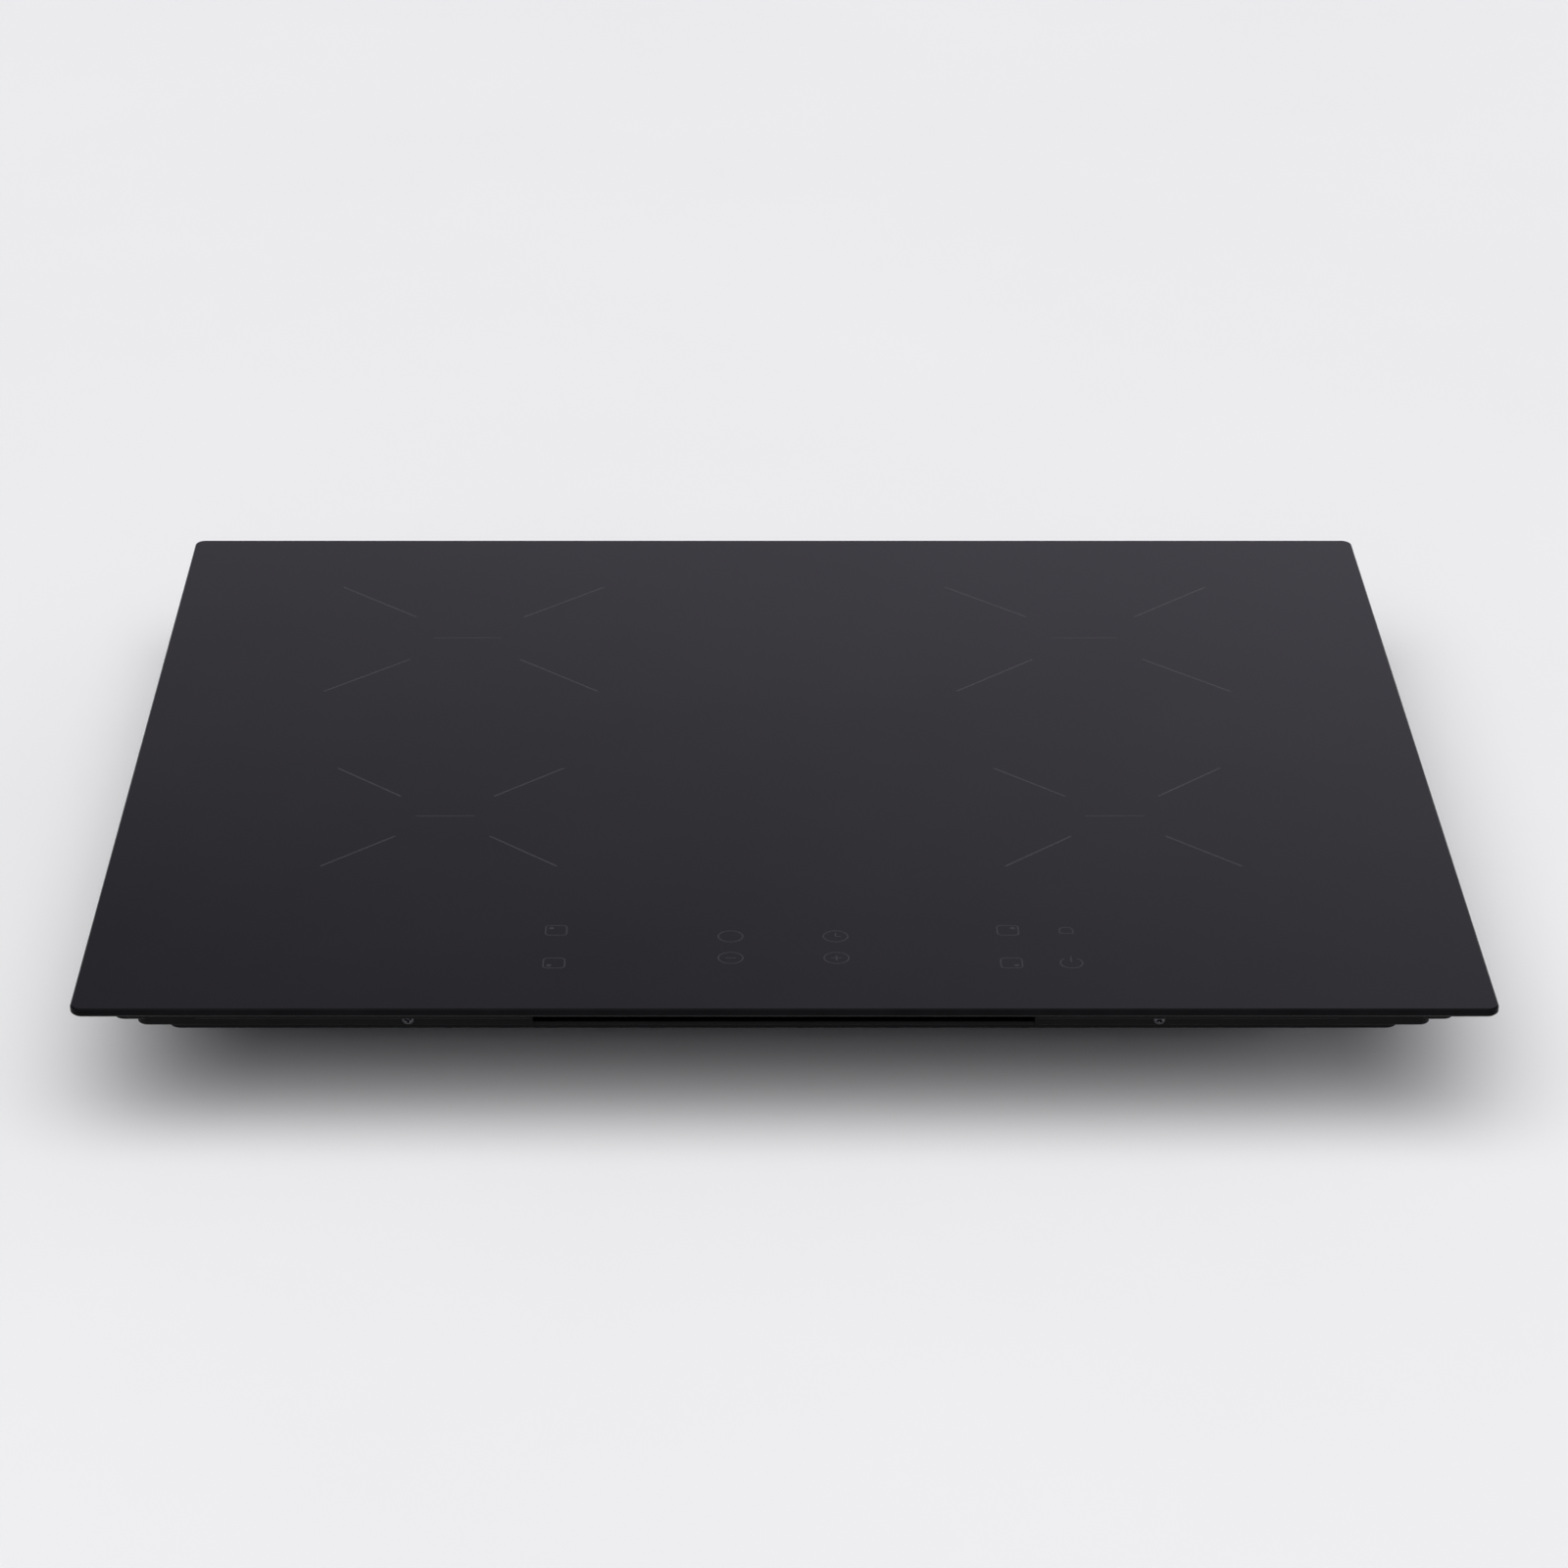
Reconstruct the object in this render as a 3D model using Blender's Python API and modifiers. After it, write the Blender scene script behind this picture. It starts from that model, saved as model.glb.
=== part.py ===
"""Built-in induction hob: a glass-ceramic plate bonded to a steel frame, over a pressed casing with a
deep pan that holds four coils, their boards, two fans and the terminal box.

Metres, +Z up, +Y to the back, -Y to the cook. The origin is under the middle of the glass, on the
plane that the pan's bottom stands on. Depths called drop are measured down from the glass's top."""

from math import cos, pi, radians, sin

import bmesh
import bpy
from mathutils import Matrix, Vector

# Overall sizes: a 60 cm hob for the usual 560 x 490 mm worktop cut-out.
GLASS_WIDTH, GLASS_DEPTH, GLASS_THICKNESS = 0.590, 0.520, 0.004
GLASS_CORNER = 0.005
ARRIS = 0.0009
TOTAL_HEIGHT = 0.056
SHEET = 0.001
GAP = 0.0003
CORNER_STEPS = 4
# How far the middle of a quarter arc stands in from its corner, for a radius of 1.
ARC_MIDDLE = 0.29
# A slot's end radius for a width of 1, short of a half so that its sides keep some length.
NEARLY_HALF = 0.49
ROUND_STEPS = 28
SCREW_STEPS = 10

# The pressed casing steps inwards three times below the glass: (inset from the glass edge, drop).
FRAME_INSET, FRAME_DROP = 0.016, 0.0135
CASE_INSET, CASE_DROP = 0.0245, 0.0205
FLOOR_INSET, FLOOR_DROP = 0.036, 0.028
FRAME_CORNER, CASE_CORNER, FLOOR_CORNER = 0.004, 0.004, 0.005
BOND_WIDTH = 0.018
LIP_DROP = 0.0192
PRESS_RADIUS = 0.0016
SEAL_INSET, SEAL_WIDTH, SEAL_HEIGHT = 0.005, 0.009, 0.002

# The deep pan: insets of its walls from the glass edge, at the sides, the front and the back.
PAN_SIDE, PAN_FRONT, PAN_BACK = 0.070, 0.100, 0.082
PAN_FLANGE = 0.012
PAN_CORNER = 0.014
PAN_ROUND = 0.003
BEAD_ROWS = (-0.115, -0.045, 0.025)
BEAD_HALF_LENGTH, BEAD_HALF_WIDTH, BEAD_RISE = 0.180, 0.007, 0.0012
PAN_INSIDE = SHEET + BEAD_RISE + GAP

# The open front of the casing, where cooling air leaves, and the frame's two cut-away ends.
VENT_HALF_WIDTH, VENT_DROP = 0.105, 0.0186
END_GAPS = ((-0.266, -0.245), (0.231, 0.268))
SCREW_X, SCREW_DROP = 0.157, 0.0166

# Holes for the fasteners, by radius.
CASING_SCREW_HOLE, PAN_SCREW_HOLE = 0.0017, 0.0019

# Cooking zones: name, centre x, centre y, winding radius.
ZONES = (
    ("back_left", -0.150, 0.132, 0.0860),
    ("back_right", 0.150, 0.132, 0.0860),
    ("front_left", -0.150, -0.0725, 0.0685),
    ("front_right", 0.150, -0.0725, 0.0685),
)
WINDING_BORE = 0.024
WINDING_HEIGHT = 0.0042
FORMER_RIM = 0.004
FORMER_HEIGHT = 0.002
FERRITE_WIDTH, FERRITE_HEIGHT = 0.012, 0.005
HUB_RADIUS, HUB_BORE = 0.016, 0.007
SENSOR_RADIUS = 0.0052

# The left coil plate; the right one is its mirror image.
PLATE_LOW, PLATE_HIGH = (-0.267, -0.162), (-0.003, 0.232)
PLATE_THICKNESS = 0.0013
PLATE_EDGE = 0.007

# Touch controls on the glass: the centres of the sensing springs.
KEY_CENTRES = (
    (-0.0964, -0.1873), (0.0958, -0.1873), (-0.0964, -0.2190), (0.0958, -0.2190),
    (-0.0222, -0.1930), (0.0224, -0.1930), (-0.0222, -0.2133), (0.0224, -0.2133),
    (0.1214, -0.1873), (0.1210, -0.2188),
)
KEY_RADIUS = 0.0035
BOARD_THICKNESS = 0.0016
# How far a joined piece reaches into the one that carries it.
SINK_IN = 0.0005

# Electronics in the pan, for the left side; the right side is its mirror image.
TRAY_LOW, TRAY_HIGH = (-0.216, -0.150), (-0.016, 0.070)
TRAY_HEIGHT, TRAY_WALL, TRAY_LEDGE = 0.0077, 0.0015, 0.0037
# Rows of parts on a power board, as y, and the parts in a row: low x, high x, length and height.
BOARD_ROWS = (-0.125, -0.063, -0.001)
BOARD_PARTS = ((-0.135, -0.103, 0.018, 0.020), (-0.092, -0.064, 0.026, 0.016), (-0.050, -0.032, 0.034, 0.009))
FAN_CENTRE = (-0.165, 0.122)
FAN_SIZE, FAN_HEIGHT, FAN_BORE = 0.080, 0.020, 0.038
FAN_BLADES, BLADE_PITCH = 7, radians(35)
SINK_LOW, SINK_HIGH = (-0.205, -0.130), (-0.150, 0.060)
SINK_FINS, FIN_THICKNESS, FIN_TOP = 9, 0.0016, 0.024
FILTER_LOW, FILTER_HIGH, FILTER_FOOT = (-0.108, 0.090), (0.108, 0.170), 0.004

# Terminal box below the back of the casing, and its hinged cover.
BOX_LOW, BOX_HIGH = (0.060, 0.180, 0.0030), (0.150, 0.222, 0.0264)
BOX_WALL = 0.002
HINGE_Y, HINGE_Z, HINGE_RADIUS = 0.2242, 0.0242, 0.0015
CABLE_HOLE = 0.012

# Mounting clamps: swivel centres, and the bent strip's run from the screw.
CLAMP_X, CLAMP_Y = 0.2495, 0.110
CLAMP_WIDTH, CLAMP_THICKNESS = 0.016, 0.0015
CLAMP_RUN = ((-0.0075, 0.0), (0.012, 0.0), (0.014, -0.0125), (0.049, -0.0125), (0.052, -0.0085))
CLAMP_HOLE = 0.0026

# Looks: colour, roughness, metallic.
BLACK_GLASS = ((0.012, 0.012, 0.014), 0.08, 0.0)
BLACK_PAINT = ((0.018, 0.018, 0.020), 0.45, 0.0)
BLACK_PLASTIC = ((0.022, 0.022, 0.024), 0.50, 0.0)
WHITE_PLASTIC = ((0.75, 0.74, 0.70), 0.45, 0.0)
FOAM = ((0.030, 0.030, 0.032), 0.95, 0.0)
ZINC = ((0.62, 0.63, 0.65), 0.30, 1.0)
ALUMINIUM = ((0.78, 0.79, 0.80), 0.35, 1.0)
COPPER = ((0.70, 0.33, 0.16), 0.35, 1.0)
FERRITE = ((0.055, 0.055, 0.060), 0.70, 0.0)
MICA = ((0.62, 0.56, 0.42), 0.60, 0.0)
GREEN_BOARD = ((0.020, 0.160, 0.060), 0.40, 0.0)
DISPLAY = ((0.20, 0.02, 0.02), 0.25, 0.0)


def clear_scene():
    for item in list(bpy.data.objects):
        bpy.data.objects.remove(item, do_unlink=True)


def new_collection(name):
    made = bpy.data.collections.new(name)
    bpy.context.scene.collection.children.link(made)
    return made


def material(name, look):
    colour, roughness, metallic = look
    made = bpy.data.materials.new(name)
    made.use_nodes = True
    shader = made.node_tree.nodes["Principled BSDF"]
    shader.inputs["Base Color"].default_value = (*colour, 1)
    shader.inputs["Roughness"].default_value = roughness
    shader.inputs["Metallic"].default_value = metallic
    return made


def place(name, mesh, look, at=(0, 0, 0), turn=(0, 0, 0)):
    """Put a mesh in the scene: a sub-part with its look, or a cutter when it has none."""
    made = bpy.data.objects.new(name, mesh)
    made.location, made.rotation_euler = at, turn
    if look is None:
        TOOLS.objects.link(made)
        made.hide_render = True
        made.display_type = "WIRE"
    else:
        PARTS.objects.link(made)
        mesh.materials.append(material(name, look))
    return made


def finish(name, shape, look, at=(0, 0, 0), turn=(0, 0, 0), smooth=False):
    """Turn a bmesh into a placed object."""
    bmesh.ops.recalc_face_normals(shape, faces=shape.faces)
    mesh = bpy.data.meshes.new(name)
    shape.to_mesh(mesh)
    shape.free()
    if smooth:
        mesh.shade_smooth()
        mesh.set_sharp_from_angle(angle=radians(35))
    return place(name, mesh, look, at, turn)


def combine(part, tool, operation="DIFFERENCE"):
    step = part.modifiers.new(tool.name, "BOOLEAN")
    step.solver = "EXACT"
    step.operation = operation
    step.object = tool
    return part


def add_box(shape, low, high):
    low, high = Vector(low), Vector(high)
    stretch = Matrix.Diagonal(high - low).to_4x4()
    bmesh.ops.create_cube(shape, size=1, matrix=Matrix.Translation((low + high) / 2) @ stretch)


def add_rod(shape, centre, radius, length, axis="Z", segments=16):
    turn = {"X": Matrix.Rotation(pi / 2, 4, "Y"), "Y": Matrix.Rotation(pi / 2, 4, "X"), "Z": Matrix()}
    bmesh.ops.create_cone(shape, cap_ends=True, segments=segments, radius1=radius, radius2=radius,
                          depth=length, matrix=Matrix.Translation(centre) @ turn[axis])


def boxes(name, corners, look=None, at=(0, 0, 0), turn=(0, 0, 0)):
    shape = bmesh.new()
    for low, high in corners:
        add_box(shape, low, high)
    return finish(name, shape, look, at, turn)


def rods(name, centres, radius, length, axis="Z", look=None, segments=16):
    shape = bmesh.new()
    for centre in centres:
        add_rod(shape, centre, radius, length, axis, segments)
    return finish(name, shape, look)


def rounded(low, high, radius, z, steps=CORNER_STEPS):
    """The points of one rounded rectangle at height z, anticlockwise from above."""
    left, right = low[0] + radius, high[0] - radius
    front, back = low[1] + radius, high[1] - radius
    middles = ((right, back), (left, back), (left, front), (right, front))
    points = []
    for quarter, (middle_x, middle_y) in enumerate(middles):
        for step in range(steps + 1):
            angle = (quarter + step / steps) * pi / 2
            points.append((middle_x + radius * cos(angle), middle_y + radius * sin(angle), z))
    return points


def shrunk(low, high, reach, radius, z):
    """A rounded rectangle moved inwards by reach, with its corner radius taken in half as much."""
    inner_low, inner_high = (low[0] + reach, low[1] + reach), (high[0] - reach, high[1] - reach)
    return rounded(inner_low, inner_high, radius - reach / 2, z)


def inset(side, drop, radius, front=None, back=None):
    """A rounded rectangle set in from the glass's edges and down from its top."""
    front, back = side if front is None else front, side if back is None else back
    low = (side - GLASS_WIDTH / 2, front - GLASS_DEPTH / 2)
    high = (GLASS_WIDTH / 2 - side, GLASS_DEPTH / 2 - back)
    return rounded(low, high, radius, TOTAL_HEIGHT - drop)


def add_loft(shape, loops, ring=False):
    """Skin a run of equal loops: a ring whose last loop meets its first, or a body with two flat ends."""
    rows = [[shape.verts.new(point) for point in loop] for loop in loops]
    pairs = list(zip(rows, rows[1:]))
    if ring:
        pairs.append((rows[-1], rows[0]))
    else:
        shape.faces.new(reversed(rows[0]))
        shape.faces.new(rows[-1])
    count = len(rows[0])
    for lower, upper in pairs:
        for i in range(count):
            j = (i + 1) % count
            shape.faces.new((lower[i], lower[j], upper[j], upper[i]))


def loft(name, loops, look, ring=False):
    shape = bmesh.new()
    add_loft(shape, loops, ring)
    return finish(name, shape, look, smooth=True)


def slab(name, low, high, radius, z_low, z_high, look=None):
    return loft(name, [rounded(low, high, radius, z_low), rounded(low, high, radius, z_high)], look)


def turned(name, profile, look, at=(0, 0, 0), turn=(0, 0, 0), bored=False, steps=ROUND_STEPS):
    """A turned piece: (radius, height) points down its outer side, and back up its bore if it has one."""
    mesh = bpy.data.meshes.new(name)
    edges = [(i, i + 1) for i in range(len(profile) - 1)]
    if bored:
        edges.append((len(profile) - 1, 0))
    mesh.from_pydata([(radius, 0, height) for radius, height in profile], edges, [])
    made = place(name, mesh, look, at, turn)
    screw = made.modifiers.new("Turn", "SCREW")
    screw.steps = screw.render_steps = steps
    screw.use_merge_vertices = True
    screw.merge_threshold = 0.00001
    screw.use_smooth_shade = True
    return made


def washer(name, outer, inner, z_low, z_high, look, at):
    section = ((outer, z_high), (outer, z_low), (inner, z_low), (inner, z_high))
    return turned(name, section, look, at, bored=True)


def screw(name, head_radius, head, shank_radius, shank, at, turn):
    """A pan-head screw: its head above its seat at height 0, and its shank below."""
    profile = ((0, head), (head_radius * 0.7, head), (head_radius, head * 0.45), (head_radius, 0),
               (shank_radius, 0), (shank_radius, -shank), (0, -shank))
    return turned(name, profile, ZINC, at, turn, steps=SCREW_STEPS)


def mirrored(low, high, side):
    """The corners of a box on the left side, or of its mirror image on the right."""
    if side < 0:
        return low, high
    return (-high[0], *low[1:]), (-low[0], *high[1:])


# The glass and what carries it.

def glass_top():
    top, bottom = 0.0, GLASS_THICKNESS
    edge = 0.0003
    return loft("glass_top", [
        inset(edge, bottom, GLASS_CORNER - edge),
        inset(0, bottom - edge, GLASS_CORNER),
        inset(0, top + ARRIS, GLASS_CORNER),
        inset(ARRIS * ARC_MIDDLE, top + ARRIS * ARC_MIDDLE, GLASS_CORNER - ARRIS * ARC_MIDDLE),
        inset(ARRIS, top, GLASS_CORNER - ARRIS),
    ], BLACK_GLASS)


def worktop_seal():
    outer, inner = SEAL_INSET, SEAL_INSET + SEAL_WIDTH
    top = GLASS_THICKNESS + GAP
    bottom = top + SEAL_HEIGHT
    return loft("worktop_seal", [
        inset(inner, bottom, 0.004), inset(outer, bottom, 0.004),
        inset(outer, top, 0.004), inset(inner, top, 0.004),
    ], FOAM, ring=True)


def pressed_corner(side, drop, radius):
    """Two loops that round the lower outside corner of a pressed wall."""
    turn_in = PRESS_RADIUS * ARC_MIDDLE
    return [
        inset(side, drop - PRESS_RADIUS, radius),
        inset(side + turn_in, drop - turn_in, radius),
        inset(side + PRESS_RADIUS, drop, radius),
    ]


def front_vent(name):
    """The space of the open vent below the middle of the glass's front edge."""
    top = GLASS_THICKNESS + GAP + SHEET + GAP
    front = -GLASS_DEPTH / 2
    return boxes(name, [(
        (-VENT_HALF_WIDTH, front + FRAME_INSET - SHEET, TOTAL_HEIGHT - VENT_DROP),
        (VENT_HALF_WIDTH, front + CASE_INSET + 3 * SHEET, TOTAL_HEIGHT - top),
    )])


def vent_cheeks(name, thickness, y_high, z_low, z_high):
    """Two plates across the frame's rail, one at each end of the vent."""
    y_low = FRAME_INSET - GLASS_DEPTH / 2 + SHEET / 4
    outer = VENT_HALF_WIDTH + thickness
    inner = outer - thickness - GAP
    return boxes(name, [((-outer, y_low, z_low), (-inner, y_high, z_high)),
                        ((inner, y_low, z_low), (outer, y_high, z_high))])


def frame_end_gaps():
    """Two gaps in the frame's front wall, near its corners."""
    front = -GLASS_DEPTH / 2
    low_z = TOTAL_HEIGHT - FRAME_DROP - SHEET
    high_z = TOTAL_HEIGHT - GLASS_THICKNESS - 3 * SHEET
    return boxes("frame_end_cutter", [
        ((x_low, front + FRAME_INSET - SHEET, low_z), (x_high, front + CASE_INSET + SHEET / 2, high_z))
        for x_low, x_high in END_GAPS
    ])


def screw_positions():
    """Where the casing's screws go in, at the front and the back: name, x, y and side."""
    for side, word in ((-1, "front"), (1, "back")):
        for x, end in ((-SCREW_X, "left"), (SCREW_X, "right")):
            yield f"{word}_{end}", x, side * (GLASS_DEPTH / 2 - CASE_INSET), side


def wall_holes(name):
    z = TOTAL_HEIGHT - SCREW_DROP
    return rods(name, [(x, y, z) for _, x, y, _ in screw_positions()], CASING_SCREW_HOLE, 0.010, "Y")


def mounting_frame():
    top, inner = GLASS_THICKNESS + GAP, FRAME_INSET + BOND_WIDTH
    lip, lip_corner = CASE_INSET + SHEET + GAP, CASE_CORNER - SHEET
    frame = loft("mounting_frame", [
        inset(FRAME_INSET, top, FRAME_CORNER),
        *pressed_corner(FRAME_INSET, FRAME_DROP, FRAME_CORNER),
        inset(lip, FRAME_DROP, lip_corner),
        inset(lip, LIP_DROP, lip_corner),
        inset(lip + SHEET, LIP_DROP, lip_corner - SHEET),
        inset(lip + SHEET, FRAME_DROP - SHEET, lip_corner - SHEET),
        inset(FRAME_INSET + SHEET, FRAME_DROP - SHEET, FRAME_CORNER - SHEET),
        inset(FRAME_INSET + SHEET, top + SHEET, FRAME_CORNER - SHEET),
        inset(inner, top + SHEET, FRAME_CORNER),
        inset(inner, top, FRAME_CORNER),
    ][::-1], BLACK_PAINT, ring=True)
    combine(frame, front_vent("frame_vent_cutter"))
    combine(frame, frame_end_gaps())
    combine(frame, wall_holes("frame_screw_cutter"))
    flange, top_flange = TOTAL_HEIGHT - FRAME_DROP + SHEET / 2, TOTAL_HEIGHT - top - SHEET / 2
    in_lip, clear_of_case = lip + SHEET / 2 - GLASS_DEPTH / 2, CASE_INSET - GAP - GLASS_DEPTH / 2
    combine(frame, vent_cheeks("upper_cheeks", 0.0013, in_lip, flange - GAP, top_flange), "UNION")
    lip_end = TOTAL_HEIGHT - LIP_DROP
    return combine(frame, vent_cheeks("lower_cheeks", 0.0012, clear_of_case, lip_end, flange + GAP), "UNION")


# The casing.

def pan_opening(drop):
    """The opening in the casing's floor, in line with the inside of the pan's walls."""
    return inset(PAN_SIDE + SHEET, drop, PAN_CORNER, PAN_FRONT + SHEET, PAN_BACK + SHEET)


def clamp_positions():
    """Each clamp's name, swivel centre and the way it is parked, +1 to the back."""
    for park, word in ((1, "front"), (-1, "back")):
        for side, end in ((-1, "left"), (1, "right")):
            yield f"{word}_{end}", side * CLAMP_X, -park * CLAMP_Y, park


def pan_screw_positions():
    x = GLASS_WIDTH / 2 - PAN_SIDE + PAN_FLANGE / 2
    yield "left", -x, 0.0
    yield "right", x, 0.0


def lead_hole():
    """The hole that the supply leads pass through, from the terminal box up into the casing."""
    x, y = BOX_LOW[0] + 0.018, BOX_LOW[1] + 0.013
    return (x, y), (x + 0.024, y + 0.010)


def upper_casing():
    wall, ledge = CASE_INSET + SHEET, CASE_DROP - SHEET
    casing = loft("upper_casing", [
        inset(CASE_INSET, FRAME_DROP + GAP, CASE_CORNER),
        *pressed_corner(CASE_INSET, CASE_DROP, CASE_CORNER),
        inset(FLOOR_INSET, CASE_DROP, FLOOR_CORNER),
        *pressed_corner(FLOOR_INSET, FLOOR_DROP, FLOOR_CORNER),
        pan_opening(FLOOR_DROP),
        pan_opening(FLOOR_DROP - SHEET),
        inset(FLOOR_INSET + SHEET, FLOOR_DROP - SHEET, FLOOR_CORNER - SHEET),
        inset(FLOOR_INSET + SHEET, ledge, FLOOR_CORNER - SHEET),
        inset(wall, ledge, CASE_CORNER - SHEET),
        inset(wall, FRAME_DROP + GAP, CASE_CORNER - SHEET),
    ][::-1], BLACK_PAINT, ring=True)
    z = TOTAL_HEIGHT - FLOOR_DROP + SHEET / 2
    clamp_holes = [(x, y, z) for _, x, y, _ in clamp_positions()]
    pan_holes = [(x, y, z) for _, x, y in pan_screw_positions()]
    combine(casing, front_vent("casing_vent_cutter"))
    combine(casing, wall_holes("casing_screw_cutter"))
    combine(casing, rods("clamp_hole_cutter", clamp_holes, CLAMP_HOLE, 0.004))
    combine(casing, rods("pan_hole_cutter", pan_holes, PAN_SCREW_HOLE, 0.004))
    low, high = lead_hole()
    return combine(casing, slab("lead_hole_cutter", low, high, 0.003, z - 0.002, z + 0.002))


def pan_loop(extra, z, radius):
    """A rounded rectangle at height z, set in from the outside of the pan's walls."""
    return inset(PAN_SIDE + extra, TOTAL_HEIGHT - z, radius, PAN_FRONT + extra, PAN_BACK + extra)


def fan_centre(side):
    return -side * FAN_CENTRE[0], FAN_CENTRE[1]


def inlet_grille(side):
    """Parallel slots that fill a circle below one fan."""
    shape = bmesh.new()
    pitch, width, reach = 0.0078, 0.0042, 0.036
    middle_x, middle_y = fan_centre(side)
    for row in range(-4, 5):
        y = middle_y + row * pitch
        half = (reach ** 2 - (row * pitch) ** 2) ** 0.5
        low, high = (middle_x - half, y - width / 2), (middle_x + half, y + width / 2)
        add_loft(shape, [rounded(low, high, width * NEARLY_HALF, z, 2) for z in (-SHEET, 2 * SHEET)])
    return finish(f"inlet_cutter_{side}", shape, None)


def outlet_slots():
    """Upright slots through the pan's front and back walls."""
    corners = []
    pitch, width, z_low, z_high = 0.0155, 0.006, 0.008, 0.021
    walls = ((PAN_FRONT - GLASS_DEPTH / 2, 0.045, 10), (GLASS_DEPTH / 2 - PAN_BACK, 0.115, 6))
    for y, nearest, count in walls:
        for side in (-1, 1):
            for i in range(count):
                x = side * (nearest + i * pitch)
                corners.append(((x - width / 2, y - 0.004, z_low), (x + width / 2, y + 0.004, z_high)))
    return boxes("outlet_cutter", corners)


def floor_beads(name, reach, z_low, z_high):
    """Long rounded bars along x: the hollows below the pan's pressed beads, or their tops inside."""
    shape = bmesh.new()
    half_length, half_width = BEAD_HALF_LENGTH + reach, BEAD_HALF_WIDTH + reach
    for y in BEAD_ROWS:
        low, high = (-half_length, y - half_width), (half_length, y + half_width)
        add_loft(shape, [rounded(low, high, 2 * half_width * NEARLY_HALF, z, 3) for z in (z_low, z_high)])
    return finish(name, shape, None)


def bottom_pan():
    flange = TOTAL_HEIGHT - FLOOR_DROP - GAP
    pan = loft("bottom_pan", [
        pan_loop(PAN_ROUND, 0, PAN_CORNER - PAN_ROUND),
        pan_loop(PAN_ROUND * ARC_MIDDLE, PAN_ROUND * ARC_MIDDLE, PAN_CORNER),
        pan_loop(0, PAN_ROUND, PAN_CORNER),
        pan_loop(0, flange - SHEET, PAN_CORNER),
        pan_loop(-PAN_FLANGE, flange - SHEET, PAN_CORNER),
        pan_loop(-PAN_FLANGE, flange, PAN_CORNER),
        pan_loop(SHEET, flange, PAN_CORNER - SHEET),
        pan_loop(SHEET, PAN_ROUND, PAN_CORNER - SHEET),
        pan_loop(PAN_ROUND, SHEET, PAN_CORNER - PAN_ROUND),
    ], BLACK_PAINT)
    combine(pan, floor_beads("bead_tops", SHEET, SHEET - GAP, SHEET + BEAD_RISE), "UNION")
    combine(pan, floor_beads("bead_hollows", 0, -SHEET, BEAD_RISE))
    combine(pan, inlet_grille(-1))
    combine(pan, inlet_grille(1))
    combine(pan, outlet_slots())
    holes = [(x, y, flange - SHEET / 2) for _, x, y in pan_screw_positions()]
    return combine(pan, rods("pan_flange_cutter", holes, PAN_SCREW_HOLE, 0.004))


def casing_screws():
    z = TOTAL_HEIGHT - SCREW_DROP
    for name, x, y, side in screw_positions():
        seat = y + side * GAP
        screw(f"casing_screw_{name}", 0.0027, 0.0020, 0.0014, 0.0033, (x, seat, z), (-side * pi / 2, 0, 0))


def pan_screws():
    z = TOTAL_HEIGHT - FLOOR_DROP - GAP - SHEET - GAP
    for name, x, y in pan_screw_positions():
        screw(f"pan_screw_{name}", 0.0036, 0.0022, 0.0016, 0.0070, (x, y, z), (pi, 0, 0))


# The cooking zones.

def coil_plate(side):
    """One aluminium plate below two coils, resting on the casing's ledge, with a turned-down inner edge."""
    word = "left" if side < 0 else "right"
    top = TOTAL_HEIGHT - CASE_DROP + SHEET + GAP + PLATE_THICKNESS
    bottom = top - PLATE_THICKNESS
    low, high = mirrored(PLATE_LOW, PLATE_HIGH, side)
    plate = slab(f"coil_plate_{word}", low, high, 0.010, bottom, top, ALUMINIUM)
    edge_x, end = PLATE_HIGH[0] - 0.0002, 0.017
    edge_low, edge_high = mirrored((edge_x - PLATE_THICKNESS, PLATE_LOW[1] + end, bottom - PLATE_EDGE),
                                   (edge_x, PLATE_HIGH[1] - end, top - GAP), side)
    combine(plate, boxes(f"plate_edge_{word}", [(edge_low, edge_high)]), "UNION")
    shape = bmesh.new()
    for _, x, y, radius in ZONES:
        if x * side > 0:
            add_rod(shape, (x, y, bottom), 0.009, 0.010, segments=20)
            lead_x, half = x - side * 0.6 * radius, 0.005
            lead_low, lead_high = (lead_x - 0.012, y - half), (lead_x + 0.012, y + half)
            add_loft(shape, [rounded(lead_low, lead_high, 2 * half * NEARLY_HALF, bottom + lift, 3)
                             for lift in (-half, half)])
    return combine(plate, finish(f"plate_hole_cutter_{word}", shape, None))


def ferrite_star(name, x, y, radius, bottom):
    """Radial ferrite bars below a coil, held together by a bored hub."""
    bars = 4 if radius > 0.08 else 3
    shape = bmesh.new()
    add_rod(shape, (0, 0, FERRITE_HEIGHT / 2), HUB_RADIUS, FERRITE_HEIGHT, segments=24)
    star = finish(f"ferrite_star_{name}", shape, FERRITE, (x, y, bottom))
    reach = radius - 0.002
    for i in range(bars):
        step = 0.0001 * (i + 1)
        low = (-reach, -FERRITE_WIDTH / 2, step)
        high = (reach, FERRITE_WIDTH / 2, FERRITE_HEIGHT - step)
        turn = (0, 0, (i + 0.5) * pi / bars)
        combine(star, boxes(f"ferrite_bar_{name}_{i}", [(low, high)], None, (x, y, bottom), turn), "UNION")
    return combine(star, rods(f"ferrite_bore_{name}", [(x, y, bottom)], HUB_BORE, 0.020))


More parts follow.
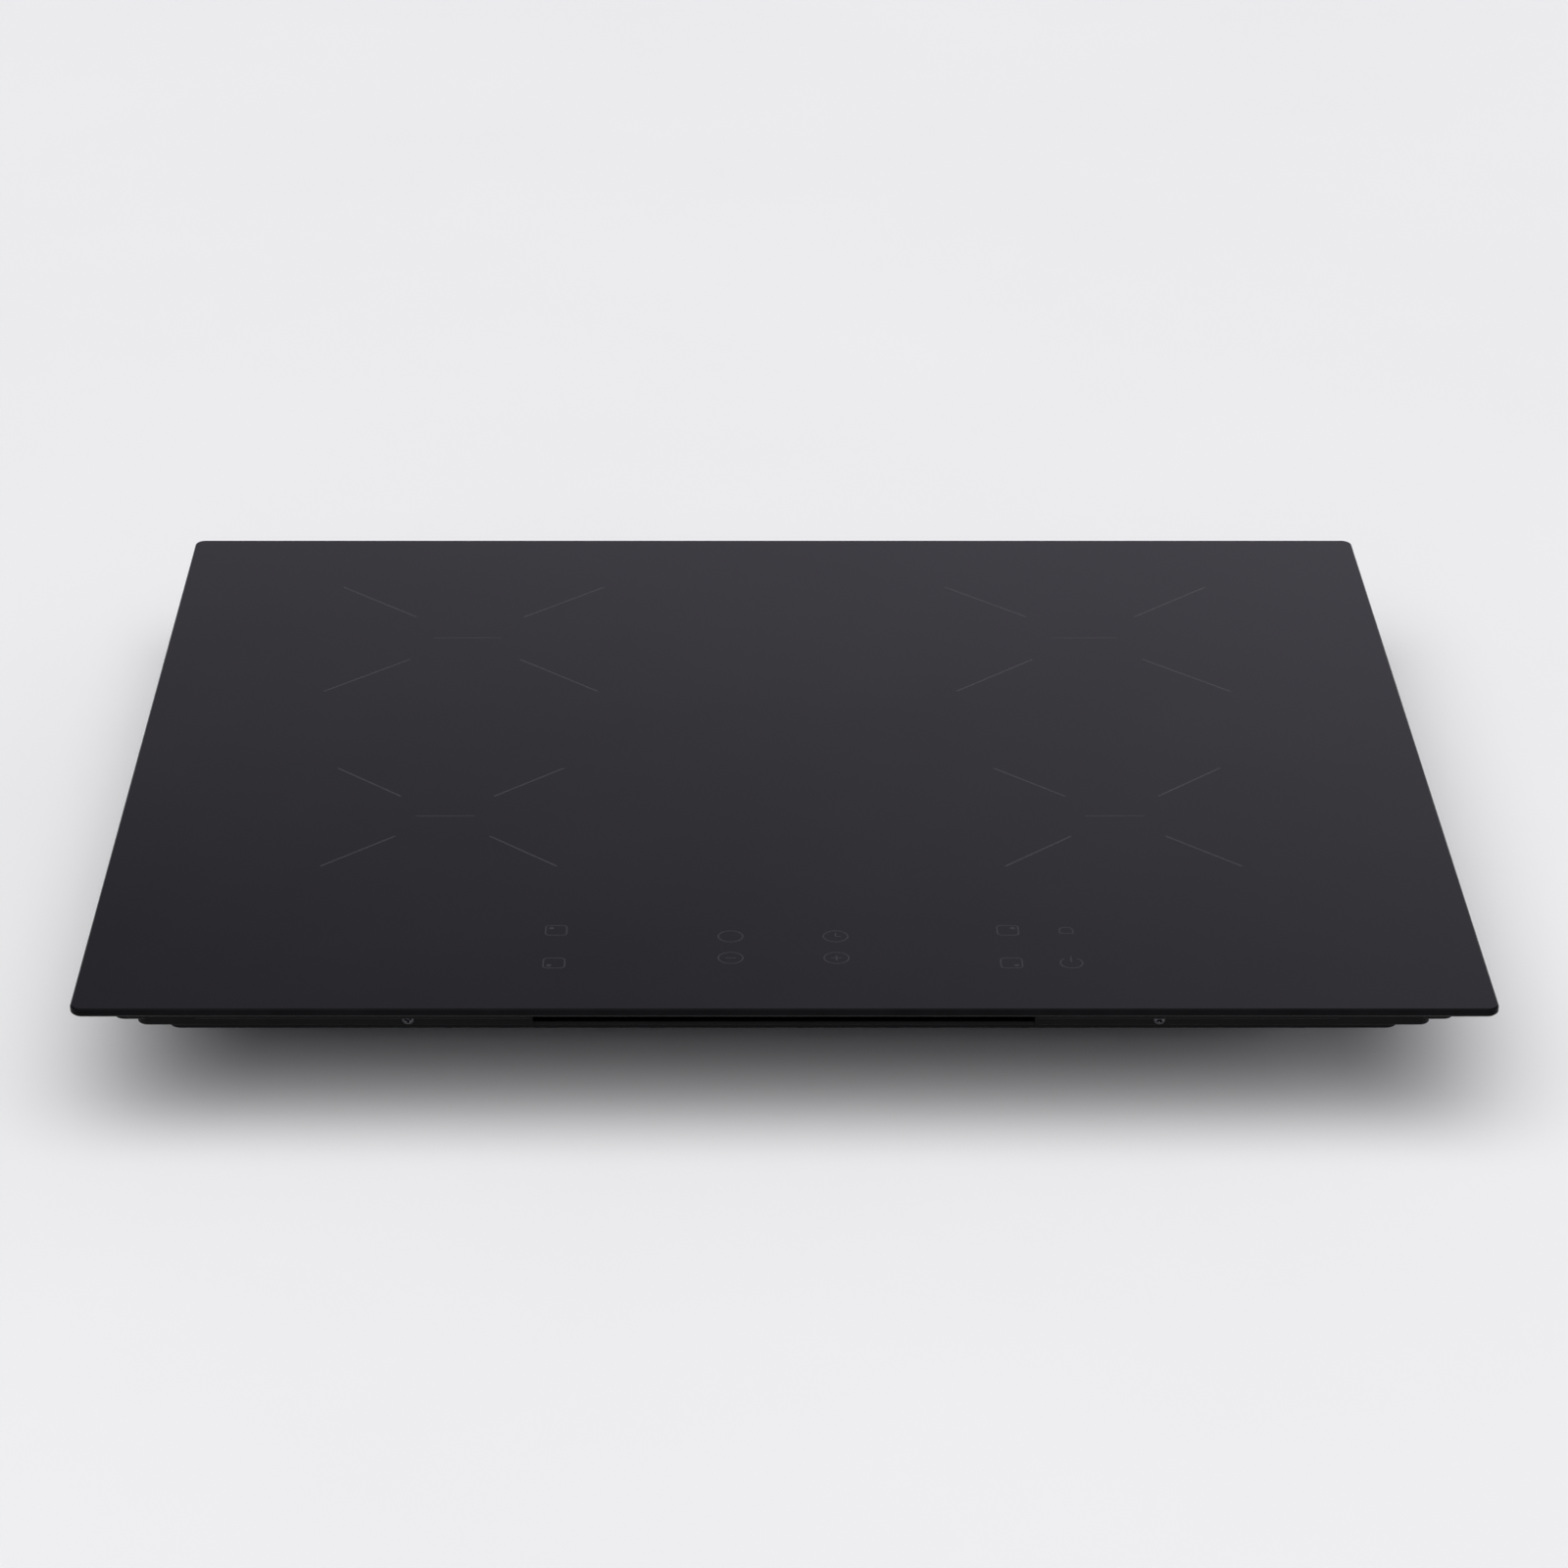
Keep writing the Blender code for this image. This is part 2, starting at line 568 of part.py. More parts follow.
def cooking_zone(name, x, y, radius):
    """Mica disc, winding, former, ferrites and temperature sensor, from the glass down."""
    mica_top = TOTAL_HEIGHT - GLASS_THICKNESS - 2 * GAP
    mica_bottom = mica_top - 0.0008
    coil_top = mica_bottom - GAP
    coil_bottom = coil_top - WINDING_HEIGHT
    former_top = coil_bottom - GAP
    former_bottom = former_top - FORMER_HEIGHT
    rim_top = coil_bottom + 0.0030
    washer(f"mica_disc_{name}", radius + 0.002, 0.0075, mica_bottom, mica_top, MICA, (x, y, 0))
    washer(f"winding_{name}", radius, WINDING_BORE, coil_bottom, coil_top, COPPER, (x, y, 0))
    rim = radius + FORMER_RIM
    section = ((rim, rim_top), (rim, former_bottom), (HUB_BORE, former_bottom), (HUB_BORE, former_top),
               (radius + 0.0015, former_top), (radius + 0.0015, rim_top))
    turned(f"coil_former_{name}", section, BLACK_PLASTIC, (x, y, 0), bored=True)
    ferrite_star(name, x, y, radius, former_bottom - GAP - FERRITE_HEIGHT)
    body, foot = SENSOR_RADIUS * 0.72, former_bottom - FERRITE_HEIGHT
    profile = ((0, mica_top), (SENSOR_RADIUS, mica_top), (SENSOR_RADIUS, mica_top - 0.0022),
               (body, mica_top - 0.0030), (body, foot), (0, foot))
    turned(f"zone_sensor_{name}", profile, WHITE_PLASTIC, (x, y, 0), steps=SCREW_STEPS)


# The electronics in the pan.

def board_tray(side, word):
    low, high = mirrored(TRAY_LOW, TRAY_HIGH, side)
    base = PAN_INSIDE

    def loop(reach, z):
        return shrunk(low, high, reach, 0.005, z)

    return loft(f"board_tray_{word}", [
        loop(0, base), loop(0, base + TRAY_HEIGHT), loop(TRAY_WALL, base + TRAY_HEIGHT),
        loop(TRAY_WALL, base + TRAY_LEDGE), loop(TRAY_WALL + 0.002, base + TRAY_LEDGE),
        loop(TRAY_WALL + 0.002, base + TRAY_WALL),
    ], BLACK_PLASTIC)


def power_board(side, word):
    """Generator board: its laminate with film capacitors, a reservoir, a transformer and plugs."""
    low, high = mirrored(TRAY_LOW, TRAY_HIGH, side)
    reach = TRAY_WALL + GAP
    z = PAN_INSIDE + TRAY_LEDGE + GAP
    top = z + BOARD_THICKNESS
    board = slab(f"power_board_{word}", (low[0] + reach, low[1] + reach), (high[0] - reach, high[1] - reach),
                 0.0045, z, top, GREEN_BOARD)
    blocks = [((x_low, y, top - SINK_IN), (x_high, y + length, top + height))
              for y in BOARD_ROWS for x_low, x_high, length, height in BOARD_PARTS]
    tool = boxes(f"board_blocks_{word}", [mirrored(*block, side) for block in blocks])
    return combine(board, tool, "UNION")


def heat_sink(side, word):
    low, high = mirrored(SINK_LOW, SINK_HIGH, side)
    z = PAN_INSIDE + TRAY_LEDGE + GAP + BOARD_THICKNESS + GAP
    sink = boxes(f"heat_sink_{word}", [((*low, z), (*high, z + 0.004))], ALUMINIUM)
    half, end = FIN_THICKNESS / 2, 0.001
    pitch = (high[0] - low[0] - 2 * end) / (SINK_FINS - 1)
    fins = []
    for i in range(SINK_FINS):
        x = low[0] + end + i * pitch
        fins.append(((x - half, low[1] + SINK_IN, z + 0.002), (x + half, high[1] - SINK_IN, z + FIN_TOP)))
    return combine(sink, boxes(f"heat_sink_fins_{word}", fins), "UNION")


def fan_frame(side, word):
    """Square frame with a round duct, and a motor plate on four struts at its foot."""
    x, y = fan_centre(side)
    half, base = FAN_SIZE / 2, PAN_INSIDE
    frame = slab(f"fan_frame_{word}", (x - half, y - half), (x + half, y + half), 0.004,
                 base, base + FAN_HEIGHT, BLACK_PLASTIC)
    combine(frame, rods(f"fan_duct_{word}", [(x, y, base + FAN_HEIGHT / 2)], FAN_BORE, 0.03, segments=28))
    strut, reach, low, high = 0.002, FAN_BORE + 0.001, base + 0.0003, base + 0.0022
    along_x = ((x - reach, y - strut, low), (x + reach, y + strut, high))
    along_y = ((x - strut, y - reach, low + 0.0001), (x + strut, y + reach, high - 0.0001))
    combine(frame, boxes(f"fan_strut_x_{word}", [along_x]), "UNION")
    combine(frame, boxes(f"fan_strut_y_{word}", [along_y]), "UNION")
    combine(frame, rods(f"fan_plate_{word}", [(x, y, base + 0.0013)], 0.015, 0.0024), "UNION")
    return combine(frame, rods(f"fan_bush_{word}", [(x, y, base)], 0.0023, 0.02, segments=10))


def fan_rotor(side, word):
    """Hub with pitched blades and a shaft stub, turning about its own upright axis."""
    x, y = fan_centre(side)
    base = PAN_INSIDE + 0.0028
    hub_radius, hub_height, tip = 0.015, 0.0150, FAN_BORE - 0.0014
    shape = bmesh.new()
    add_rod(shape, (0, 0, hub_height / 2), hub_radius, hub_height, segments=20)
    rotor = finish(f"fan_rotor_{word}", shape, BLACK_PLASTIC, (x, y, base))
    blades = bmesh.new()
    for i in range(FAN_BLADES):
        lean = Matrix.Rotation(BLADE_PITCH, 4, "X")
        turn = Matrix.Rotation(2 * pi * i / FAN_BLADES, 4, "Z")
        out = Matrix.Translation(((hub_radius + tip) / 2 - 0.001, 0, hub_height / 2))
        size = Matrix.Diagonal((tip - hub_radius + 0.002, 0.020, 0.0012)).to_4x4()
        bmesh.ops.create_cube(blades, size=1, matrix=turn @ out @ lean @ size)
    combine(rotor, finish(f"fan_blades_{word}", blades, None, (x, y, base)), "UNION")
    return combine(rotor, rods(f"fan_shaft_{word}", [(x, y, base)], 0.0020, 0.0050, segments=12), "UNION")


def filter_board():
    """Mains filter board on four feet, with relays and interference capacitors."""
    bottom = PAN_INSIDE + FILTER_FOOT
    top = bottom + BOARD_THICKNESS
    board = slab("filter_board", FILTER_LOW, FILTER_HIGH, 0.003, bottom, top, GREEN_BOARD)
    in_from_edge, foot = 0.008, FILTER_FOOT + SINK_IN
    feet = [(x, y, PAN_INSIDE + foot / 2)
            for x in (FILTER_LOW[0] + in_from_edge, FILTER_HIGH[0] - in_from_edge)
            for y in (FILTER_LOW[1] + in_from_edge, FILTER_HIGH[1] - in_from_edge)]
    combine(board, rods("filter_feet", feet, 0.003, foot, segments=10), "UNION")
    relays, capacitors = (-0.094, -0.058, 0.040), (-0.090, -0.064, 0.050, 0.076)
    blocks = [((x, 0.100, top - SINK_IN), (x + 0.028, 0.114, top + 0.018)) for x in relays]
    blocks += [((x, 0.128, top - SINK_IN), (x + 0.018, 0.160, top + 0.021)) for x in capacitors]
    return combine(board, boxes("filter_blocks", blocks), "UNION")


def filter_choke():
    """Wound ring core lying on the filter board."""
    thickness = 0.006
    z = PAN_INSIDE + FILTER_FOOT + BOARD_THICKNESS + GAP + thickness
    bpy.ops.mesh.primitive_torus_add(major_radius=0.0155, minor_radius=thickness, major_segments=16,
                                     minor_segments=7, location=(0.002, 0.142, z))
    made = bpy.context.object
    made.name = made.data.name = "filter_choke"
    for group in made.users_collection:
        group.objects.unlink(made)
    PARTS.objects.link(made)
    made.data.shade_smooth()
    made.data.materials.append(material("filter_choke", COPPER))
    return made


# The touch controls.

def touch_tray():
    low, high = (-0.118, -0.2305), (0.142, -0.172)
    bottom, top = TOTAL_HEIGHT - LIP_DROP, TOTAL_HEIGHT - 0.0060
    ledge = TOTAL_HEIGHT - 0.0084

    def loop(reach, z):
        return shrunk(low, high, reach, 0.004, z)

    return loft("touch_tray", [
        loop(0, bottom), loop(0, top), loop(0.0015, top), loop(0.0015, ledge),
        loop(0.0035, ledge), loop(0.0035, bottom + 0.0015),
    ], BLACK_PLASTIC)


def touch_board():
    """Key board below the glass, with a sensing spring under each touch mark."""
    z = TOTAL_HEIGHT - 0.0081
    top = z + BOARD_THICKNESS
    board = slab("touch_board", (-0.1162, -0.2287), (0.1402, -0.1738), 0.0035, z, top, GREEN_BOARD)
    height = TOTAL_HEIGHT - GLASS_THICKNESS - 2 * GAP - top + SINK_IN
    springs = [(x, y, top - SINK_IN + height / 2) for x, y in KEY_CENTRES]
    return combine(board, rods("key_springs", springs, KEY_RADIUS, height, segments=8), "UNION")


def display_module():
    z = TOTAL_HEIGHT - 0.0065 + GAP
    return boxes("display_module", [((-0.011, -0.2085, z), (0.011, -0.1980, z + 0.0016))], DISPLAY)


# The terminal box.

def terminal_housing():
    """Open-backed box with a cable hole in its side, a hole up to the casing, and two hinge ears."""
    low, high = BOX_LOW, BOX_HIGH
    housing = boxes("terminal_housing", [(low, high)], BLACK_PLASTIC)
    ears = [((x, high[1] - 0.004, HINGE_Z - 0.0027), (x + 0.004, HINGE_Y + 0.0022, high[2] - 0.0002))
            for x in (low[0] + 0.0002, high[0] - 0.0042)]
    combine(housing, boxes("hinge_ears", ears), "UNION")
    inside = boxes("terminal_space", [(
        (low[0] + BOX_WALL, low[1] + BOX_WALL, low[2] + BOX_WALL),
        (high[0] - BOX_WALL, high[1] + 0.001, high[2] - BOX_WALL))])
    combine(housing, inside)
    middle_y, middle_z = cable_centre()
    half = CABLE_HOLE / 2
    hole = boxes("cable_hole_cutter", [((high[0] - 0.004, middle_y - half, middle_z - half),
                                        (high[0] + 0.002, middle_y + half, middle_z + half))])
    combine(housing, hole)
    lead_low, lead_high = lead_hole()
    combine(housing, slab("box_lead_cutter", lead_low, lead_high, 0.003, high[2] - 0.004, high[2] + 0.002))
    axis = [((low[0] + high[0]) / 2, HINGE_Y, HINGE_Z)]
    return combine(housing, rods("hinge_hole_cutter", axis, 0.0013, 0.088, "X", segments=12))


def cable_centre():
    """The middle of the cable hole, as y and z."""
    return BOX_LOW[1] + 0.021, BOX_LOW[2] + 0.0105


def terminal_block():
    """Five-way screw terminal."""
    low = (BOX_LOW[0] + 0.012, BOX_LOW[1] + 0.010, BOX_LOW[2] + BOX_WALL + GAP)
    high = (low[0] + 0.045, low[1] + 0.018, low[2] + 0.008)
    block = boxes("terminal_block", [(low, high)], WHITE_PLASTIC)
    pitch, ways = 0.009, 5
    towers = [((low[0] + 0.0005 + i * pitch, low[1] + 0.004, high[2] - SINK_IN),
               (low[0] + 0.0075 + i * pitch, low[1] + 0.014, high[2] + 0.005)) for i in range(ways)]
    combine(block, boxes("terminal_towers", towers), "UNION")
    screws = [(low[0] + 0.004 + i * pitch, low[1] + 0.009, high[2] + 0.004) for i in range(ways)]
    return combine(block, rods("terminal_wells", screws, 0.0022, 0.006, segments=10))


def cable_clamp():
    """Arched bar that holds the cord down beside its hole."""
    middle_y, _ = cable_centre()
    x, z = BOX_HIGH[0] - 0.016, BOX_LOW[2] + BOX_WALL + GAP
    width, half_length, height = 0.008, 0.015, 0.0145
    bar = ((x, middle_y - half_length, z), (x + width, middle_y + half_length, z + height))
    clamp = boxes("cable_clamp", [bar], WHITE_PLASTIC)
    bore = [(x + width / 2, middle_y, z + 0.0045)]
    return combine(clamp, rods("cable_clamp_bore", bore, 0.0055, 0.02, "X", segments=20))


def terminal_cover():
    """Flap over the back of the terminal box; its origin is on its hinge axis."""
    low, high = BOX_LOW, BOX_HIGH
    x_low, x_high = low[0] + 0.0048, high[0] - 0.0048
    middle_x = (low[0] + high[0]) / 2
    front, width = high[1] + GAP - HINGE_Y, x_high - x_low
    flap = ((-width / 2, front, low[2] - HINGE_Z), (width / 2, front + 0.002, -0.0008))
    axis = (middle_x, HINGE_Y, HINGE_Z)
    cover = boxes("terminal_cover", [flap], BLACK_PLASTIC, axis)
    combine(cover, rods("cover_barrel", [axis], HINGE_RADIUS, width - 0.0002, "X", segments=14), "UNION")
    combine(cover, rods("cover_pins", [axis], 0.0010, width + 0.0070, "X", segments=10), "UNION")
    pull = boxes("cover_pull", [((middle_x - 0.010, high[1] + GAP + 0.001, low[2] + 0.001),
                                 (middle_x + 0.010, high[1] + GAP + 0.0045, low[2] + 0.003))])
    return combine(cover, pull, "UNION")


# The mounting clamps.

def mounting_clamp(name, x, y, park):
    """Bent steel strip that swivels about its screw; its origin is on the screw's axis."""
    shape = bmesh.new()
    half = CLAMP_WIDTH / 2
    rows = [[shape.verts.new((side * half, park * run, rise)) for side in (-1, 1)] for run, rise in CLAMP_RUN]
    for (a, b), (c, d) in zip(rows, rows[1:]):
        shape.faces.new((a, b, d, c))
    z = TOTAL_HEIGHT - FLOOR_DROP - GAP - CLAMP_THICKNESS / 2
    clamp = finish(f"mounting_clamp_{name}", shape, ZINC, (x, y, z))
    skin = clamp.modifiers.new("Thickness", "SOLIDIFY")
    skin.thickness, skin.offset, skin.use_even_offset = CLAMP_THICKNESS, 0, True
    return combine(clamp, rods(f"clamp_hole_{name}", [(x, y, z)], CLAMP_HOLE, 0.006))


def clamp_screw(name, x, y):
    seat = TOTAL_HEIGHT - FLOOR_DROP - GAP - CLAMP_THICKNESS - GAP
    return screw(f"clamp_screw_{name}", 0.0045, 0.0030, 0.0022, 0.0070, (x, y, seat), (pi, 0, 0))


def build():
    glass_top()
    worktop_seal()
    mounting_frame()
    upper_casing()
    bottom_pan()
    casing_screws()
    pan_screws()
    for name, x, y, radius in ZONES:
        cooking_zone(name, x, y, radius)
    for side, word in ((-1, "left"), (1, "right")):
        coil_plate(side)
        board_tray(side, word)
        power_board(side, word)
        heat_sink(side, word)
        fan_frame(side, word)
        fan_rotor(side, word)
    filter_board()
    filter_choke()
    touch_tray()
    touch_board()
    display_module()
    terminal_housing()
    terminal_block()
    cable_clamp()
    terminal_cover()
    for name, x, y, park in clamp_positions():
        mounting_clamp(name, x, y, park)
        clamp_screw(name, x, y)


clear_scene()
PARTS = new_collection("induction_hob")
TOOLS = new_collection("cutters")
build()
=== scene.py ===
"""Looks of the built-in induction hob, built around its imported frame. Metres, +Z up, -Y to the cook."""
from math import cos, pi, radians, sin

import bmesh
import bpy
from mathutils import Matrix, Vector


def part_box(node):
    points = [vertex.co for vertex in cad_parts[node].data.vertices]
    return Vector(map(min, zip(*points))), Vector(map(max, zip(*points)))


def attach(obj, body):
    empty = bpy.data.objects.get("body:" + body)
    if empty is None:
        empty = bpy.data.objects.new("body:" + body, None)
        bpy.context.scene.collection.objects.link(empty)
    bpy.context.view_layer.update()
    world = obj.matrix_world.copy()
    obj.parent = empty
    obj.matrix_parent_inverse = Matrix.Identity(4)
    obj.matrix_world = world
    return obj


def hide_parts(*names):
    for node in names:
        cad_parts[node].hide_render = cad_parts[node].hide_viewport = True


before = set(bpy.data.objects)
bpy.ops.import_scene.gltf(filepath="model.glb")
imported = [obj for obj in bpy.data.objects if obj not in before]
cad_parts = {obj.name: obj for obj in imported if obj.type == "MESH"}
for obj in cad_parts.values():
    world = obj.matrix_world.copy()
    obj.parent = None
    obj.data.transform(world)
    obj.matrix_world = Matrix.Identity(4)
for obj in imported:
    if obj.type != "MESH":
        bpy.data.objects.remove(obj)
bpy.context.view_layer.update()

ENDS = (("left", -1), ("right", 1))
CORNERS = tuple((f"{word}_{end}", side, park) for word, park in (("front", 1), ("back", -1)) for end, side in ENDS)

# Pressed sheet: its thickness, the outside radius of its bends, and the fine rounding of its cut edges.
SHEET, BEND, CUT_EDGE = 0.001, 0.0016, 0.0002
CORNER, FLOOR_CORNER = 0.004, 0.005     # the casing's corners seen from above
OVERLAP = 0.0003        # how far joined shapes reach into each other

GLASS_LOW, GLASS_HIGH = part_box("glass_top")
TOP, FRONT, BACK, RIGHT = GLASS_HIGH.z, GLASS_LOW.y, GLASS_HIGH.y, GLASS_HIGH.x
PRINT_RISE = 0.00002

# The front vent: half its width, its span behind the glass's front edge, and its span below the glass's top.
VENT_HALF, VENT_FRONT, VENT_BACK, VENT_TOP, VENT_BOTTOM = 0.105, 0.0145, 0.0275, 0.0056, 0.0186

# Head radius, head height, shank radius and shank length of each kind of screw, and its clearance hole's radius.
SCREWS = {"casing": (0.0027, 0.0020, 0.0014, 0.0033), "pan": (0.0036, 0.0022, 0.0016, 0.0070),
          "clamp": (0.0045, 0.0030, 0.0022, 0.0070)}
HOLES = {"casing": 0.0017, "pan": 0.0019, "clamp": 0.0026}

# The terminal cover's hinge, and the walls of the board trays.
HINGE_Y, HINGE_Z = 0.2242, 0.0242
TRAY_WALL, TRAY_SHELF = 0.0015, 0.0035


# Small geometry helpers. A loop is a closed run of points, anticlockwise from above.

def rounded(low, high, radius, z, steps=10):
    left, right = low[0] + radius, high[0] - radius
    front, back = low[1] + radius, high[1] - radius
    middles = ((right, back), (left, back), (left, front), (right, front))
    points = []
    for quarter, (x, y) in enumerate(middles):
        for step in range(steps + 1):
            angle = (quarter + step / steps) * pi / 2
            points.append((x + radius * cos(angle), y + radius * sin(angle), z))
    return points


def inset(side, drop, radius, front=None, back=None, steps=10):
    """A rounded rectangle set in from the glass's edges and down from its top."""
    front, back = side if front is None else front, side if back is None else back
    return rounded((side - RIGHT, FRONT + front), (RIGHT - side, BACK - back), radius, TOP - drop, steps)


def circle(x, y, radius, z, steps=48):
    return [(x + radius * cos(2 * pi * i / steps), y + radius * sin(2 * pi * i / steps), z) for i in range(steps)]


def centre(name):
    """The middle of a CAD node's box."""
    low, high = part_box(name)
    return (low + high) / 2


def softened(points, radii, steps=4, closed=True):
    """Round the corners of an outline in two numbers, each with its own radius."""
    made, count = [], len(points)
    for i, point in enumerate(points):
        here = Vector(point)
        if radii[i] <= 0 or (not closed and i in (0, count - 1)):
            made.append(tuple(here))
            continue
        arms = []
        for other in (points[i - 1], points[(i + 1) % count]):
            arm = Vector(other) - here
            arms.append(here + arm.normalized() * min(radii[i], arm.length * 0.45))
        for step in range(steps + 1):
            t = step / steps
            spot = arms[0] * (1 - t) ** 2 + here * 2 * t * (1 - t) + arms[1] * t ** 2
            made.append(tuple(spot))
    return made


def add_loft(shape, loops, ring=False, part=0):
    """Skin a run of equal loops: a ring whose last loop meets its first, or a body with two flat ends."""
    rows = [[shape.verts.new(point) for point in loop] for loop in loops]
    pairs = list(zip(rows, rows[1:]))
    faces = []
    if ring:
        pairs.append((rows[-1], rows[0]))
    else:
        faces += [shape.faces.new(rows[0][::-1]), shape.faces.new(rows[-1])]
    count = len(rows[0])
    for lower, upper in pairs:
        for i in range(count):
            j = (i + 1) % count
            faces.append(shape.faces.new((lower[i], lower[j], upper[j], upper[i])))
    for face in faces:
        face.material_index = part


def add_box(shape, low, high, part=0, matrix=None):
    low, high = Vector(low), Vector(high)
    spot = Matrix.Translation((low + high) / 2) @ Matrix.Diagonal(high - low).to_4x4()
    made = bmesh.ops.create_cube(shape, size=1, matrix=(matrix @ spot) if matrix else spot)
    for face in {face for vert in made["verts"] for face in vert.link_faces}:
        face.material_index = part
    return made["verts"]


def add_soft_box(shape, low, high, radius, part=0, steps=2, matrix=None):
    """A box with all its edges rounded."""
    verts = add_box(shape, low, high, part, matrix)
    edges = list({edge for vert in verts for edge in vert.link_edges})
    made = bmesh.ops.bevel(shape, geom=edges, offset=radius, segments=steps, profile=0.5, affect="EDGES")
    for face in made["faces"]:
        face.material_index = part


def add_turned(shape, profile, at=(0, 0, 0), segments=32, part=0, matrix=None):
    """Turn (radius, height) points, from the top down the outer side. A closed bore repeats no point."""
    place = (matrix or Matrix()) @ Matrix.Translation(at)
    rows = []
    for radius, height in profile:
        count = 1 if radius == 0 else segments
        rows.append([shape.verts.new(place @ Vector((radius * cos(2 * pi * i / segments),
                                                     radius * sin(2 * pi * i / segments), height)))
                     for i in range(count)])
    if profile[0][0] > 0:
        rows.append(rows[0])
    faces = []
    for upper, lower in zip(rows, rows[1:]):
        for i in range(segments):
            j = (i + 1) % segments
            corners = [upper[i % len(upper)], lower[i % len(lower)], lower[j % len(lower)], upper[j % len(upper)]]
            faces.append(shape.faces.new(list(dict.fromkeys(corners))))
    for face in faces:
        face.material_index = part


def add_rod(shape, centre, radius, length, axis="Z", segments=24, part=0, edge=0.0):
    """A cylinder along an axis, with its rims rounded off by edge."""
    turn = {"X": Matrix.Rotation(pi / 2, 4, "Y"), "Y": Matrix.Rotation(-pi / 2, 4, "X"), "Z": Matrix()}[axis]
    half = length / 2
    profile = [(0, half), (radius, half), (radius, -half), (0, -half)]
    profile = softened(profile, (0, edge, edge, 0), 3, closed=False)
    add_turned(shape, profile, segments=segments, part=part, matrix=Matrix.Translation(centre) @ turn)


def add_plate(shape, low, high, radius, z_low, z_high, edge=0.0002, part=0, steps=6):
    """A flat plate with round corners and softened rims."""
    rims = ((edge, z_low), (0, z_low + edge), (0, z_high - edge), (edge, z_high))
    add_loft(shape, [rounded((low[0] + side, low[1] + side), (high[0] - side, high[1] - side),
                             max(radius - side, 0.0001), z, steps) for side, z in rims], part=part)


def add_slot(shape, low, high, z_low, z_high, steps=6):
    """A prism with fully rounded ends along its longer side."""
    radius = min(high[0] - low[0], high[1] - low[1]) / 2 - 0.00001
    add_loft(shape, [rounded(low, high, radius, z, steps) for z in (z_low, z_high)])


def add_tube(shape, points, radius, sides=10, part=0, flat=1.0):
    """A round tube through points, closed at both ends; flat squeezes it along z."""
    spots = [Vector(point) for point in points]
    rows = []
    for i, spot in enumerate(spots):
        ahead = (spots[min(i + 1, len(spots) - 1)] - spots[max(i - 1, 0)]).normalized()
        across = ahead.cross(Vector((0, 0, 1)))
        across = across.normalized() if across.length > 0.05 else Vector((0, 1, 0))
        up = across.cross(ahead).normalized()
        rows.append([spot + radius * (across * cos(2 * pi * k / sides) + up * flat * sin(2 * pi * k / sides))
                     for k in range(sides)])
    add_loft(shape, rows, part=part)


# Pieces.

def as_mesh(name, shape, sharp=35):
    bmesh.ops.recalc_face_normals(shape, faces=shape.faces)
    mesh = bpy.data.meshes.new(name)
    shape.to_mesh(mesh)
    shape.free()
    mesh.shade_smooth()
    mesh.set_sharp_from_angle(angle=radians(sharp))
    return mesh


def link(name, form):
    """An object in the scene, from a bmesh, a mesh, a light or a camera."""
    made = bpy.data.objects.new(name, as_mesh(name, form) if isinstance(form, bmesh.types.BMesh) else form)
    bpy.context.scene.collection.objects.link(made)
    return made


def cut(part, shape, operation="DIFFERENCE"):
    """Cut a bmesh out of a piece's mesh, or join it on, at once."""
    tool = link(part.name + "_tool", shape)
    step = part.modifiers.new("Cut", "BOOLEAN")
    step.solver, step.operation, step.object = "EXACT", operation, tool
    step.use_self = True        # the tool's own parts may overlap
    bpy.context.view_layer.update()
    mesh = bpy.data.meshes.new_from_object(part.evaluated_get(bpy.context.evaluated_depsgraph_get()))
    part.modifiers.clear()
    part.data = mesh
    bpy.data.objects.remove(tool, do_unlink=True)
    mesh.set_sharp_from_angle(angle=radians(35))


def piece(name, form, looks, *nodes, body="root", slot=None, matrix=None, sharp=35):
    """A finished piece from a bmesh, mesh or object, riding on a body and standing for its CAD nodes."""
    if isinstance(form, bmesh.types.BMesh):
        form = as_mesh(name, form, sharp)
    made = form if isinstance(form, bpy.types.Object) else link(name, form)
    if matrix is not None:
        made.matrix_world = matrix
    for look in looks:
        made.data.materials.append(LOOK[look])
    shading = made.modifiers.new("Shading", "WEIGHTED_NORMAL")
    shading.keep_sharp, shading.weight = True, 75
    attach(made, body)
    if nodes:
        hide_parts(*nodes)


# Materials. Each is procedural: colour and roughness vary with noise, and a fine bump gives the grain.

def node(tree, kind, **values):
    made = tree.nodes.new("ShaderNode" + kind)
    for key, value in values.items():
        if key in made.inputs.keys():
            made.inputs[key].default_value = value
        else:
            setattr(made, key, value)
    return made


def ramp(tree, fac, stops):
    made = tree.nodes.new("ShaderNodeValToRGB")
    elements = made.color_ramp.elements
    while len(elements) < len(stops):
        elements.new(0.5)
    for element, (position, colour) in zip(elements, stops):
        element.position, element.color = position, (*colour, 1)
    tree.links.new(fac, made.inputs["Fac"])
    return made.outputs["Color"]


